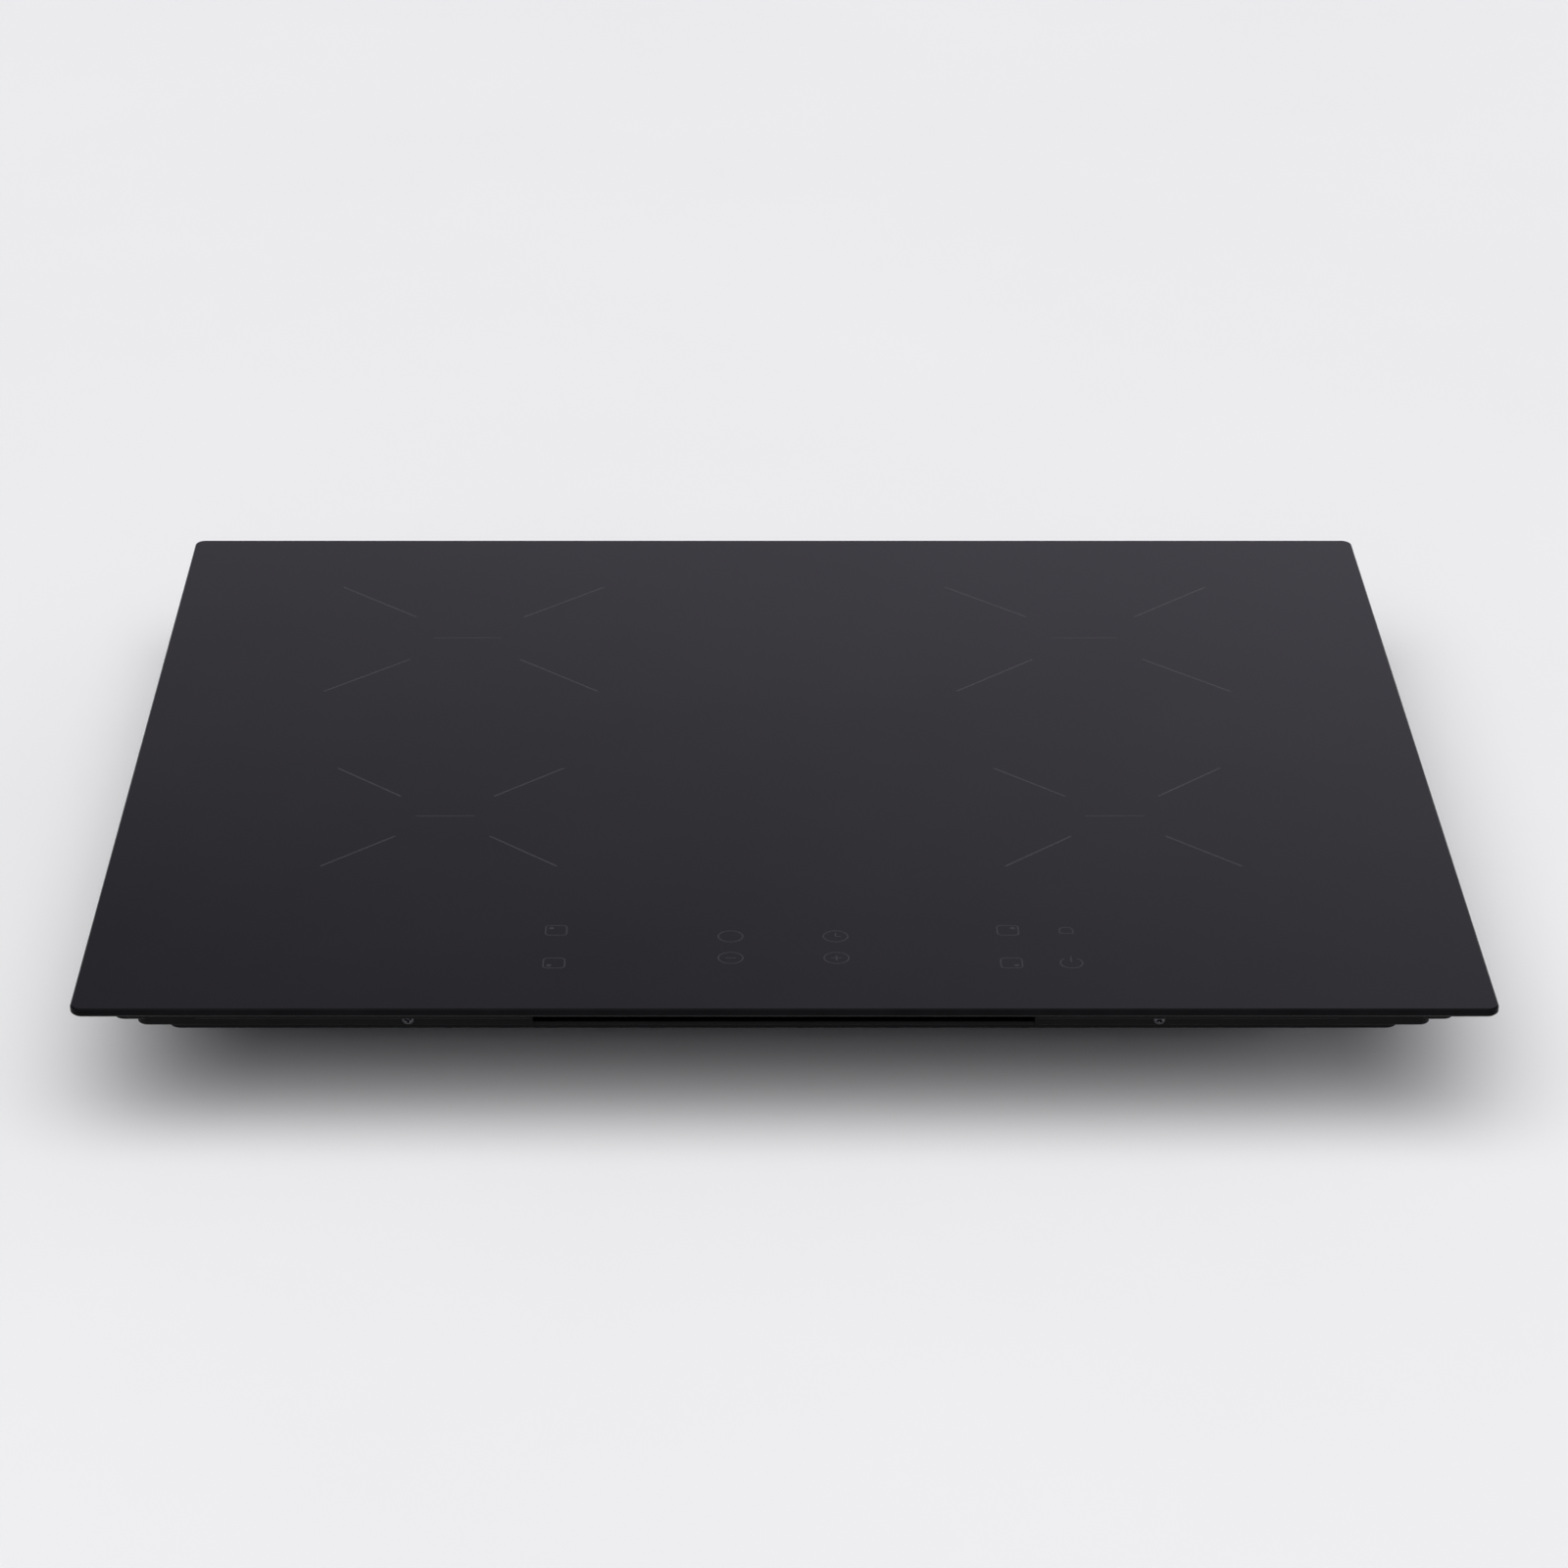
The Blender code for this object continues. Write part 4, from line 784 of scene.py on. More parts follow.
def terminal_housing():
    """Moulded box, open at the back, with ribs, a cable hole and two hinge ears."""
    low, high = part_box("terminal_housing")
    body_back, wall = 0.222, 0.002
    x_low, x_high, y_low = low.x, high.x, low.y
    floor = low.z + wall
    shape = bmesh.new()
    add_soft_box(shape, (x_low, y_low, low.z), (x_high, body_back, high.z), 0.0009, steps=3)
    made = link("terminal_box", shape)
    ears = bmesh.new()
    for x in (x_low + 0.0002, x_high - 0.0042):
        add_box(ears, (x, body_back - 0.004, HINGE_Z - 0.0020), (x + 0.004, HINGE_Y, high.z - 0.0003))
        add_rod(ears, (x + 0.002, HINGE_Y, HINGE_Z), 0.0020, 0.0039, "X")
    cut(made, ears, "UNION")
    inside = bmesh.new()
    add_box(inside, (x_low + wall, y_low + wall, floor), (x_high - wall, body_back + 0.001, high.z - wall))
    cut(made, inside)
    holes = bmesh.new()
    middle_y, middle_z, half = y_low + 0.021, low.z + 0.0105, 0.006
    add_box(holes, (x_high - 0.004, middle_y - half, middle_z - half),
            (x_high + 0.002, middle_y + half, middle_z + half))
    add_lead_hole(holes, high.z - 0.004, high.z + 0.002)
    add_rod(holes, ((x_low + x_high) / 2, HINGE_Y, HINGE_Z), 0.0013, x_high - x_low - 0.002, "X", segments=20)
    cut(made, holes)
    ribs = bmesh.new()
    for i in range(5):
        x = x_low + 0.012 + i * 0.0165
        add_box(ribs, (x, body_back - 0.0025, floor - OVERLAP), (x + 0.0012, body_back - 0.0004, floor + 0.0009))
    cut(made, ribs, "UNION")
    piece("terminal_box", made, ("plastic",), "terminal_housing")


def terminal_cover():
    """Flap with a hinge barrel, stiffening ribs and a finger pull, riding on its own body."""
    low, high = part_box("terminal_cover")
    pin_end = 0.0035
    x_low, x_high, front = low.x + pin_end, high.x - pin_end, low.y
    shape = bmesh.new()
    add_soft_box(shape, (x_low, front, low.z), (x_high, front + 0.0020, HINGE_Z - 0.0008), 0.0004)
    made = link("terminal_flap", shape)
    joins = bmesh.new()
    middle = (x_low + x_high) / 2
    barrel, pin = (x_high - x_low) / 2 - 0.0001, (high.x - low.x) / 2 - 0.00005
    half = [(0, pin), (0.0010, pin), (0.0010, barrel), (0.00148, barrel)]
    profile = half + [(radius, -along) for radius, along in half[::-1]]
    add_turned(joins, softened(profile, (0, 0.0002, 0, 0.0003, 0.0003, 0, 0.0002, 0), 3, closed=False), segments=24,
               matrix=Matrix.Translation((middle, HINGE_Y, HINGE_Z)) @ Matrix.Rotation(pi / 2, 4, "Y"))
    cut(made, joins, "UNION")
    details = bmesh.new()
    for i in range(4):
        x = x_low + 0.012 + i * (x_high - x_low - 0.0252) / 3
        add_box(details, (x, front + 0.0015, low.z + 0.005), (x + 0.0012, front + 0.0028, HINGE_Z - 0.004))
    add_soft_box(details, (middle - 0.010, front + 0.001, low.z + 0.0010),
                 (middle + 0.010, high.y, low.z + 0.0030), 0.0005)
    cut(made, details, "UNION")
    piece("terminal_flap", made, ("plastic",), "terminal_cover", body="terminal_cover")


def blank_plate():
    """The rating plate's place under the pan: a thin blank aluminium label."""
    low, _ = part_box("bottom_pan")
    shape = bmesh.new()
    corner_low, corner_high = (0.030, 0.060), (0.095, 0.100)
    add_loft(shape, [rounded(corner_low, corner_high, 0.003, low.z + rise, 6) for rise in (0.00002, 0.0003)])
    piece("blank_label", shape, ("plate",))


# The cooking zones, from the glass down.

def zone_pieces():
    for name, x, y, radius in zone_centres():
        mica_disc(name, x, y)
        winding(name, x, y, radius)
        coil_former(name, x, y)
        ferrite_bars(name, x, y, radius)
        zone_sensor(name, x, y)


def mica_disc(name, x, y):
    low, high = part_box(f"mica_disc_{name}")
    outer, bore, thick, edge = (high.x - low.x) / 2, 0.0075, high.z - low.z, 0.00015
    shape = bmesh.new()
    profile = softened([(bore, thick), (outer, thick), (outer, 0), (bore, 0)], (edge,) * 4, 2)
    add_turned(shape, profile, (x, y, low.z), 80)
    piece(f"mica_sheet_{name}", shape, ("mica",), f"mica_disc_{name}")


def winding(name, x, y, radius):
    """Litz wire, squeezed flat and wound as a tight spiral."""
    low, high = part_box(f"winding_{name}")
    bore = 0.024
    turns = round((radius - bore) / 0.0036)
    pitch, steps = (radius - bore) / turns, 60
    points = []
    for i in range((turns - 1) * steps + 1):
        angle, reach = 2 * pi * i / steps, bore + pitch * (0.5 + i / steps)
        points.append((x + reach * cos(angle), y + reach * sin(angle), (low.z + high.z) / 2))
    shape = bmesh.new()
    half = pitch * 0.485
    add_tube(shape, points, half, sides=10, flat=(high.z - low.z) / 2 / half)
    piece(f"litz_spiral_{name}", shape, ("copper",), f"winding_{name}", sharp=60)


def coil_former(name, x, y):
    """Dish below the winding, with a notched rim and holes for the sensor and the lead."""
    low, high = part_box(f"coil_former_{name}")
    rim, height, base, wall, bore = (high.x - low.x) / 2, high.z - low.z, 0.002, 0.0025, 0.007
    profile = [(rim, height), (rim, 0), (bore, 0), (bore, base), (rim - wall, base), (rim - wall, height)]
    shape = bmesh.new()
    add_turned(shape, softened(profile, (0.0006, 0.0008, 0.0003, 0.0003, 0.0003, 0.0004), 3), (x, y, low.z), 80)
    made = link(f"coil_dish_{name}", shape)
    notches = bmesh.new()
    for i in range(8):
        turn = Matrix.Translation((x, y, low.z)) @ Matrix.Rotation(i * pi / 4, 4, "Z")
        add_box(notches, (rim - 2 * wall, -0.004, base + 0.0008), (rim + wall, 0.004, height + wall), matrix=turn)
        for reach in (0.42, 0.68):
            spot = turn @ Vector((rim * reach, 0, 0))
            add_rod(notches, spot, 0.003, 0.01, segments=16)
    cut(made, notches)
    piece(made.name, made, ("plastic",), f"coil_former_{name}")


def ferrite_bars(name, x, y, radius):
    """Radial bars round a bored hub."""
    low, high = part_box(f"ferrite_star_{name}")
    width, hub, bore, height, edge = 0.012, 0.016, 0.007, high.z - low.z, 0.0004
    arms = 8 if name.startswith("back") else 6
    shape = bmesh.new()
    profile = [(bore, height), (hub, height), (hub, 0), (bore, 0)]
    add_turned(shape, softened(profile, (edge,) * 4, 2), (x, y, low.z), 40)
    for i in range(arms):
        turn = Matrix.Translation((x, y, low.z)) @ Matrix.Rotation((i + 0.5) * 2 * pi / arms, 4, "Z")
        add_soft_box(shape, (hub + 0.0012, -width / 2, 0), (radius - 0.002, width / 2, height), edge, matrix=turn)
    piece(f"ferrite_bars_{name}", shape, ("ferrite",), f"ferrite_star_{name}")


def zone_sensor(name, x, y):
    """Sensor cap on a stem, with the spring that presses it to the glass."""
    low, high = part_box(f"zone_sensor_{name}")
    head, stem, height = 0.0052, 0.0037, high.z - low.z
    profile = [(0, height), (head, height), (head, height - 0.0022), (stem, height - 0.0030), (stem, 0), (0, 0)]
    shape = bmesh.new()
    add_turned(shape, softened(profile, (0, 0.0004, 0.0003, 0.0003, 0.0005, 0), 3, closed=False), (x, y, low.z), 32)
    add_spring(shape, x, y, low.z + 0.0008, high.z - 0.0038, 0.0044, 0.00035, 7, part=1)
    piece(f"sensor_cap_{name}", shape, ("white", "zinc"), f"zone_sensor_{name}")


def add_spring(shape, x, y, z_low, z_high, radius, wire, turns, part=0, steps=16):
    points = []
    for i in range(turns * steps + 1):
        angle, share = 2 * pi * i / steps, i / (turns * steps)
        points.append((x + radius * cos(angle), y + radius * sin(angle), z_low + (z_high - z_low) * share))
    add_tube(shape, points, wire, sides=6, part=part)


def coil_plate(end, side):
    """Aluminium sheet below two coils, with a turned-down inner edge and a pressed bead beside it."""
    low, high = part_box(f"coil_plate_{end}")
    thick = 0.0013
    bottom = high.z - thick
    shape = bmesh.new()
    add_plate(shape, low, high, 0.010, bottom, high.z)
    made = link(f"coil_sheet_{end}", shape)
    inner = high.x if side < 0 else low.x
    extra = bmesh.new()
    x_low, x_high = sorted((inner + side * 0.0002, inner + side * (0.0002 + thick)))
    add_box(extra, (x_low, low.y + 0.017, low.z), (x_high, high.y - 0.017, high.z - 0.0003))
    bead_x = inner + side * 0.014
    bead_low, bead_high = (bead_x - 0.004, low.y + 0.030), (bead_x + 0.004, high.y - 0.030)
    add_plate(extra, bead_low, bead_high, 0.0038, bottom - 0.0010, bottom + 0.0003, 0.0004)
    cut(made, extra, "UNION")
    holes = bmesh.new()
    add_plate(holes, (bead_low[0] + 0.001, bead_low[1] + 0.001), (bead_high[0] - 0.001, bead_high[1] - 0.001),
              0.0028, high.z - 0.0012, high.z + 0.001, 0.0002)
    for _, x, y, radius in zone_centres():
        if x * side > 0:
            add_rod(holes, (x, y, bottom), 0.009, 0.010, segments=40)
            lead = x - side * 0.6 * radius
            add_slot(holes, (lead - 0.012, y - 0.005), (lead + 0.012, y + 0.005), bottom - 0.005, bottom + 0.005)
            for angle in range(45, 360, 90):
                reach = radius + 0.0075
                add_rod(holes, (x + reach * cos(radians(angle)), y + reach * sin(radians(angle)), bottom),
                        0.0016, 0.010, segments=16)
    cut(made, holes)
    piece(made.name, made, ("aluminium",), f"coil_plate_{end}")


# Circuit boards. Each is one mesh: the laminate and its parts, in a shared palette.

PALETTE = ("laminate", "solder", "yellow", "blue", "sleeve", "chip", "white", "copper", "ferrite", "aluminium",
           "red")


class Board:
    def __init__(self, node_name, low, high, z_low, z_high, corner):
        self.name, self.top, self.shape = node_name, z_high, bmesh.new()
        add_plate(self.shape, low, high, corner, z_low, z_high, 0.0001)

    def block(self, low, high, kind, edge=0.0006, lift=0.0):
        """A soft-edged part on the board; heights count from its surface."""
        add_soft_box(self.shape, (*low[:2], self.top + 0.00004 + lift), (*high[:2], self.top + high[2]), edge,
                     PALETTE.index(kind))

    def can(self, x, y, radius, height):
        """An electrolytic capacitor: sleeve, rolled groove, and a bare scored end."""
        sleeve = [(radius * 0.86, height), (radius, height - 0.0004), (radius, 0.0030), (radius * 0.94, 0.0024),
                  (radius, 0.0018), (radius, 0.0001), (radius * 0.5, 0.0001)]
        add_turned(self.shape, sleeve, (x, y, self.top), 28, PALETTE.index("sleeve"))
        cap = [(0, height - 0.0005), (radius * 0.84, height - 0.0005), (radius * 0.84, height - 0.0012),
               (0, height - 0.0012)]
        add_turned(self.shape, cap, (x, y, self.top), 28, PALETTE.index("aluminium"))

    def wound_core(self, low, high, height):
        """A small transformer: ferrite core halves with a copper winding between them."""
        middle, third = (low[1] + high[1]) / 2, (high[1] - low[1]) * 0.28
        self.block(low, (high[0], low[1] + third, height), "ferrite", 0.0004)
        self.block((low[0], high[1] - third), (high[0], high[1], height), "ferrite", 0.0004)
        reach = (high[1] - low[1]) / 2 - third - 0.0002
        self.block((low[0] + 0.002, middle - reach), (high[0] - 0.002, middle + reach, height * 0.86), "copper",
                   0.0012)

    def chip(self, x, y, length, width, height=0.0014, legs=4):
        self.block((x - length / 2, y - width / 2), (x + length / 2, y + width / 2, height), "chip", 0.0002, 0.0002)
        pitch = length / legs
        for i in range(legs):
            at = x - length / 2 + (i + 0.5) * pitch
            for side in (-1, 1):
                inner, outer = y + side * (width / 2 + 0.00005), y + side * (width / 2 + 0.0012)
                self.block((at - pitch * 0.2, min(inner, outer)), (at + pitch * 0.2, max(inner, outer), 0.0005),
                           "solder", 0.00008)

    def plug(self, low, high, height, ways):
        """A pin header in a walled housing, open above."""
        wall = 0.0009
        self.block(low, (*high, height * 0.3), "white", 0.0001)
        along = 0 if high[0] - low[0] > high[1] - low[1] else 1
        for axis in (0, 1):
            for side in (0, 1):
                start, end = list(low), list(high)
                if side:
                    start[axis] = high[axis] - wall
                else:
                    end[axis] = low[axis] + wall
                if axis != along:
                    start[along], end[along] = low[along] + wall + 0.00002, high[along] - wall - 0.00002
                self.block(start, (*end, height), "white", 0.00015, height * 0.3)
        step = (high[along] - low[along]) / ways
        for i in range(ways):
            spot = [(low[0] + high[0]) / 2, (low[1] + high[1]) / 2]
            spot[along] = low[along] + (i + 0.5) * step
            self.block((spot[0] - 0.0004, spot[1] - 0.0004), (spot[0] + 0.0004, spot[1] + 0.0004, height * 0.85),
                       "solder", 0.0001, height * 0.3)

    def small_parts(self, low, high, columns, rows):
        """A grid of chip resistors and capacitors, some turned and some left out."""
        for i in range(columns):
            for j in range(rows):
                kind = (i * 7 + j * 5) % 6
                x = low[0] + (i + 0.5) * (high[0] - low[0]) / columns
                y = low[1] + (j + 0.5) * (high[1] - low[1]) / rows
                if kind == 5:
                    continue
                long, short = (0.0016, 0.0008) if kind % 2 else (0.0008, 0.0016)
                body = "chip" if kind < 3 else "yellow"
                self.block((x - long * 0.7, y - short * 0.7), (x + long * 0.7, y + short * 0.7, 0.0006), body,
                           0.0001)
                for side in (-1, 1):
                    dx, dy = (side * long * 1.05, 0) if kind % 2 else (0, side * short * 1.05)
                    self.block((x + dx - 0.0004, y + dy - 0.0004), (x + dx + 0.0004, y + dy + 0.0004, 0.0003),
                               "solder", 0.00006)

    def done(self, name):
        piece(name, self.shape, PALETTE, self.name)


def power_board(end, side):
    """Generator board: film capacitors, a wound core, reservoirs, plugs and power transistors at the sink."""
    low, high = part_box(f"power_board_{end}")
    board = Board(f"power_board_{end}", low, high, low.z, low.z + 0.0016, 0.0045)

    def span(x_low, y_low, x_high, y_high):
        """A part's corners on the left board, or their mirror image on the right one."""
        if side < 0:
            return (x_low, y_low), (x_high, y_high)
        return (-x_high, y_low), (-x_low, y_high)

    for number, y in enumerate((-0.125, -0.063, -0.001)):
        a, b = span(-0.135, y, -0.103, y + 0.018)
        if number == 1:
            for x in (-0.1265, -0.1115):
                board.can(x if side < 0 else -x, y + 0.009, 0.0070, 0.020)
        else:
            board.block(a, (*b, 0.020), "yellow" if number == 0 else "white", 0.0010)
        a, b = span(-0.092, y, -0.064, y + 0.026)
        if number == 2:
            board.block(a, (*b, 0.016), "blue", 0.0008)
        else:
            board.wound_core(a, b, 0.016)
        a, b = span(-0.050, y, -0.032, y + 0.034)
        half = (b[0] - a[0]) / 2
        board.plug(a, (a[0] + half - 0.002, b[1]), 0.009, 8)
        board.block((a[0] + half + 0.001, a[1]), (b[0], b[1], 0.009), "sleeve", 0.0010)
        a, b = span(-0.135, y + 0.030, -0.100, y + 0.050)
        board.small_parts(a, b, 8, 5)
        a, b = span(-0.084, y + 0.038, -0.070, y + 0.046)
        board.chip((a[0] + b[0]) / 2, (a[1] + b[1]) / 2, 0.012, 0.0065, legs=7)
        a, b = span(-0.1490, y + 0.004, -0.1440, y + 0.020)
        board.block(a, (*b, 0.021), "chip", 0.0006, 0.004)
        for i in range(3):
            leg_y, (x, _) = a[1] + 0.0026 + i * 0.0054, span(-0.1470, 0, -0.1462, 0)[0]
            board.block((x, leg_y - 0.0006), (x + 0.0008, leg_y + 0.0006, 0.0041), "solder", 0.0001)
    board.done(f"generator_board_{end}")


def heat_sink(end):
    """Extruded sink: a base with tapered, round-tipped fins, as one outline drawn out along y."""
    low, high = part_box(f"heat_sink_{end}")
    base, fins, thick, margin = 0.004, 9, 0.0016, 0.001
    pitch = (high.x - low.x - 2 * margin) / (fins - 1)
    outline, radii = [(low.x, low.z), (low.x, low.z + base)], [0.0004, 0.0]
    for i in range(fins):
        x = low.x + margin + i * pitch
        for offset, z in ((-0.5, low.z + base), (-0.38, high.z), (0.38, high.z), (0.5, low.z + base)):
            outline.append((x + offset * thick, z))
            radii.append(0.0005)
    outline += [(high.x, low.z + base), (high.x, low.z)]
    radii += [0.0, 0.0004]
    loops = [[(x, y, z) for x, z in softened(outline, radii, 3)] for y in (high.y, low.y)]
    shape = bmesh.new()
    add_loft(shape, loops)
    piece(f"finned_sink_{end}", shape, ("sink",), f"heat_sink_{end}")


def tray_shell(name, low, high, ledge, radii, corner, least):
    """A tray's floor, walls and ledge: one section carried round its rectangle, each bend with its own radius."""
    height, inner = high.z - low.z, 0.01
    section = [(inner, 0), (0, 0), (0, height), (TRAY_WALL, height), (TRAY_WALL, ledge), (TRAY_SHELF, ledge),
               (TRAY_SHELF, TRAY_WALL), (inner, TRAY_WALL)]
    shape = bmesh.new()
    add_loft(shape, [rounded((low.x + side, low.y + side), (high.x - side, high.y - side),
                             max(corner - side, least), low.z + rise, 6)
                     for side, rise in softened(section, (0, *radii, 0), 3, closed=False)])
    return link(name, shape)


def board_tray(end):
    """Plastic tray with a ledge for the board and crossed ribs below it."""
    low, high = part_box(f"board_tray_{end}")
    ledge, half = 0.0037, 0.0006
    radii = (0.0006, 0.0005, 0.0004, 0.0002, 0.0003, 0.0003)
    made = tray_shell(f"tray_{end}", low, high, ledge, radii, 0.005, 0.001)
    ribs = bmesh.new()
    for i in range(1, 6):
        y = low.y + i * (high.y - low.y) / 6
        add_box(ribs, (low.x + 0.0030, y - half, low.z + TRAY_WALL - 0.0002),
                (high.x - 0.0030, y + half, low.z + ledge - 0.0004))
    for i in range(1, 5):
        x = low.x + i * (high.x - low.x) / 5
        add_box(ribs, (x - half, low.y + 0.0029, low.z + TRAY_WALL - 0.0001),
                (x + half, high.y - 0.0029, low.z + ledge - 0.0006))
    cut(made, ribs, "UNION")
    piece(made.name, made, ("plastic",), f"board_tray_{end}")


# The fans.

def fan_frame(end):
    """Square housing with flanges, corner holes, a round duct, and a motor plate on four struts."""
    low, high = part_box(f"fan_frame_{end}")
    x, y = centre(f"fan_frame_{end}").xy
    height, flange, waist, bore = high.z - low.z, 0.0032, 0.0010, 0.038
    middle = low.z + height / 2
    shape = bmesh.new()
    levels = ((0.0004, 0), (0, 0.0004), (0, flange), (waist, flange + 0.0006), (waist, height - flange - 0.0006),
              (0, height - flange), (0, height - 0.0004), (0.0004, height))
    add_loft(shape, [rounded((low.x + side, low.y + side), (high.x - side, high.y - side), 0.004, low.z + rise, 6)
                     for side, rise in levels])
    made = link(f"fan_housing_{end}", shape)
    holes = bmesh.new()
    add_rod(holes, (x, y, middle), bore, 0.03, segments=96)
    corner = 0.03575
    for side_x in (-1, 1):
        for side_y in (-1, 1):
            add_rod(holes, (x + side_x * corner, y + side_y * corner, middle), 0.0019, 0.03, segments=20)
    cut(made, holes)
    arms = bmesh.new()
    for i in range(4):
        turn = Matrix.Translation((x, y, low.z)) @ Matrix.Rotation(i * pi / 2, 4, "Z")
        outline = ((0.010, -0.0028), (bore + 0.0008, -0.0016), (bore + 0.0008, 0.0016), (0.010, 0.0028))
        add_loft(arms, [[turn @ Vector((a, b, z)) for a, b in outline] for z in (0.0003, 0.0022)])
    cut(made, arms, "UNION")
    plate = bmesh.new()
    motor, low_face, high_face = 0.0150, 0.0001, 0.0025
    profile = softened([(0, high_face), (motor, high_face), (motor, low_face), (0, low_face)],
                       (0, 0.0004, 0.0003, 0), 3, closed=False)
    add_turned(plate, profile, (x, y, low.z), 48)
    cut(made, plate, "UNION")
    bush = bmesh.new()
    add_rod(bush, (x, y, low.z), 0.0023, 0.02, segments=24)
    cut(made, bush)
    piece(made.name, made, ("plastic",), f"fan_frame_{end}")


def fan_rotor(end):
    """Hub with a domed cap and seven cambered blades, twisted and swept from root to tip."""
    low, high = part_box(f"fan_rotor_{end}")
    x, y = centre(f"fan_frame_{end}").xy
    hub, blades, tip, height = 0.015, 7, 0.0363, 0.015
    base = high.z - height
    profile = [(0, height), (hub * 0.72, height), (hub, height * 0.90), (hub, 0.0004), (hub - 0.0012, 0.0004),
               (hub - 0.0012, 0.002), (0.004, 0.002), (0.002, 0.0016), (0.002, low.z - base), (0, low.z - base)]
    shape = bmesh.new()
    radii = (0, 0.002, 0.002, 0.0003, 0.0002, 0.0002, 0.0002, 0, 0.0002, 0)
    add_turned(shape, softened(profile, radii, 4, closed=False), segments=48)
    made = link(f"fan_wheel_{end}", shape)
    fan = bmesh.new()
    stations = 7
    for number in range(blades):
        loops = []
        for i in range(stations):
            share = i / (stations - 1)
            reach = hub - 0.0008 + (tip - hub + 0.0008) * share
            pitch, lead = radians(40 - 14 * share), radians(number * 360 / blades + 11 * share ** 1.5)
            chord, thick = 0.0165 + 0.0030 * share, 0.0014 - 0.0005 * share
            loops.append(blade_section(reach, lead, pitch, chord, thick, height / 2))
        add_loft(fan, loops)
    cut(made, fan, "UNION")
    made.location = (x, y, base)
    bpy.context.view_layer.update()
    piece(made.name, made, ("plastic",), f"fan_rotor_{end}", body=f"fan_rotor_{end}")


def blade_section(reach, lead, pitch, chord, thick, middle):
    """A cambered strip across a blade at one radius, wrapped round the fan's axis."""
    points, steps = [], 5
    outline = [(i / steps, 1) for i in range(steps + 1)] + [(i / steps, -1) for i in range(steps, -1, -1)]
    for along, face in outline:
        camber = 0.0012 * sin(pi * along)
        taper = max(sin(pi * min(max(along, 0.06), 0.94)), 0.25) ** 0.5
        run, rise = (along - 0.5) * chord, camber + face * thick / 2 * taper
        across, up = run * cos(pitch) - rise * sin(pitch), run * sin(pitch) + rise * cos(pitch)
        angle = lead + across / reach
        points.append((reach * cos(angle), reach * sin(angle), middle + up))
    return points


# The mains filter.

def filter_board():
    """Filter board on four feet, with relays, interference capacitors, fuses and a plug."""
    low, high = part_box("filter_board")
    foot, thick = 0.004, 0.0016
    board = Board("filter_board", low, high, low.z + foot, low.z + foot + thick, 0.003)
    for x in (low.x + 0.008, high.x - 0.008):
        for y in (low.y + 0.008, high.y - 0.008):
            add_rod(board.shape, (x, y, low.z + foot / 2 - 0.00003), 0.003, foot - 0.00006,
                    part=PALETTE.index("white"))
    for x in (-0.094, -0.058, 0.040):
        board.block((x, 0.100), (x + 0.028, 0.114, 0.018), "chip" if x < 0 else "white", 0.0007)
    for x, kind in ((-0.090, "yellow"), (-0.064, "yellow"), (0.050, "blue"), (0.076, "yellow")):
        board.block((x, 0.128), (x + 0.018, 0.160, 0.021), kind, 0.0012)
    board.plug((-0.020, 0.097), (0.018, 0.106), 0.010, 9)
    board.small_parts((-0.036, 0.112), (-0.022, 0.160), 3, 9)
    board.small_parts((0.026, 0.120), (0.046, 0.160), 4, 8)
    for y in (0.118, 0.164):
        board.chip(-0.050, y, 0.010, 0.004, legs=5)
    board.done("mains_filter_board")


def filter_choke():
    """Ring core with two wound halves and bare gaps between them."""
    low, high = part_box("filter_choke")
    x, y, z = centre("filter_choke")
    wire, reach = 0.00075, (high.z - low.z) / 2
    ring = (high.x - low.x) / 2 - reach
    shape = bmesh.new()
    core = reach - 2 * wire - 0.0001
    section = [(ring + core * a, core * b) for a, b in ((-1, 1), (1, 1), (1, -1), (-1, -1))]
    add_turned(shape, softened(section, (0.001,) * 4, 3), (x, y, z), 48)
    turns, steps = 15, 14
    for half in (0, 1):
        points = []
        for i in range(turns * steps + 1):
            round_, along = 2 * pi * i / steps, radians(14) + (pi - radians(28)) * i / (turns * steps) + half * pi
            wide = (reach - wire - 0.0001) / max(abs(cos(round_)), abs(sin(round_))) ** 0.75
            across, up = min(wide, reach * 1.12) * cos(round_), (reach - wire) * sin(round_)
            points.append((x + (ring + across) * cos(along), y + (ring + across) * sin(along), z + up))
        add_wire(shape, points, wire, part=1)
    piece("wound_choke", shape, ("ferrite", "copper"), "filter_choke", slot="choke_winding", sharp=50)


def add_wire(shape, points, radius, part=0, sides=7):
    """A round wire on any path, its cross-section carried on from point to point without twist."""
    spots = [Vector(point) for point in points]
    ahead = (spots[1] - spots[0]).normalized()
    across = ahead.orthogonal().normalized()
    rows = []
    for i, spot in enumerate(spots):
        ahead = (spots[min(i + 1, len(spots) - 1)] - spots[max(i - 1, 0)]).normalized()
        across = (across - ahead * across.dot(ahead)).normalized()
        up = ahead.cross(across)
        rows.append([spot + radius * (across * cos(2 * pi * k / sides) + up * sin(2 * pi * k / sides))
                     for k in range(sides)])
    add_loft(shape, rows, part=part)


# The touch controls.

KEYS = ((-0.0964, -0.1873), (0.0958, -0.1873), (-0.0964, -0.2190), (0.0958, -0.2190), (-0.0222, -0.1930),
        (0.0224, -0.1930), (-0.0222, -0.2133), (0.0224, -0.2133), (0.1214, -0.1873), (0.1210, -0.2188))


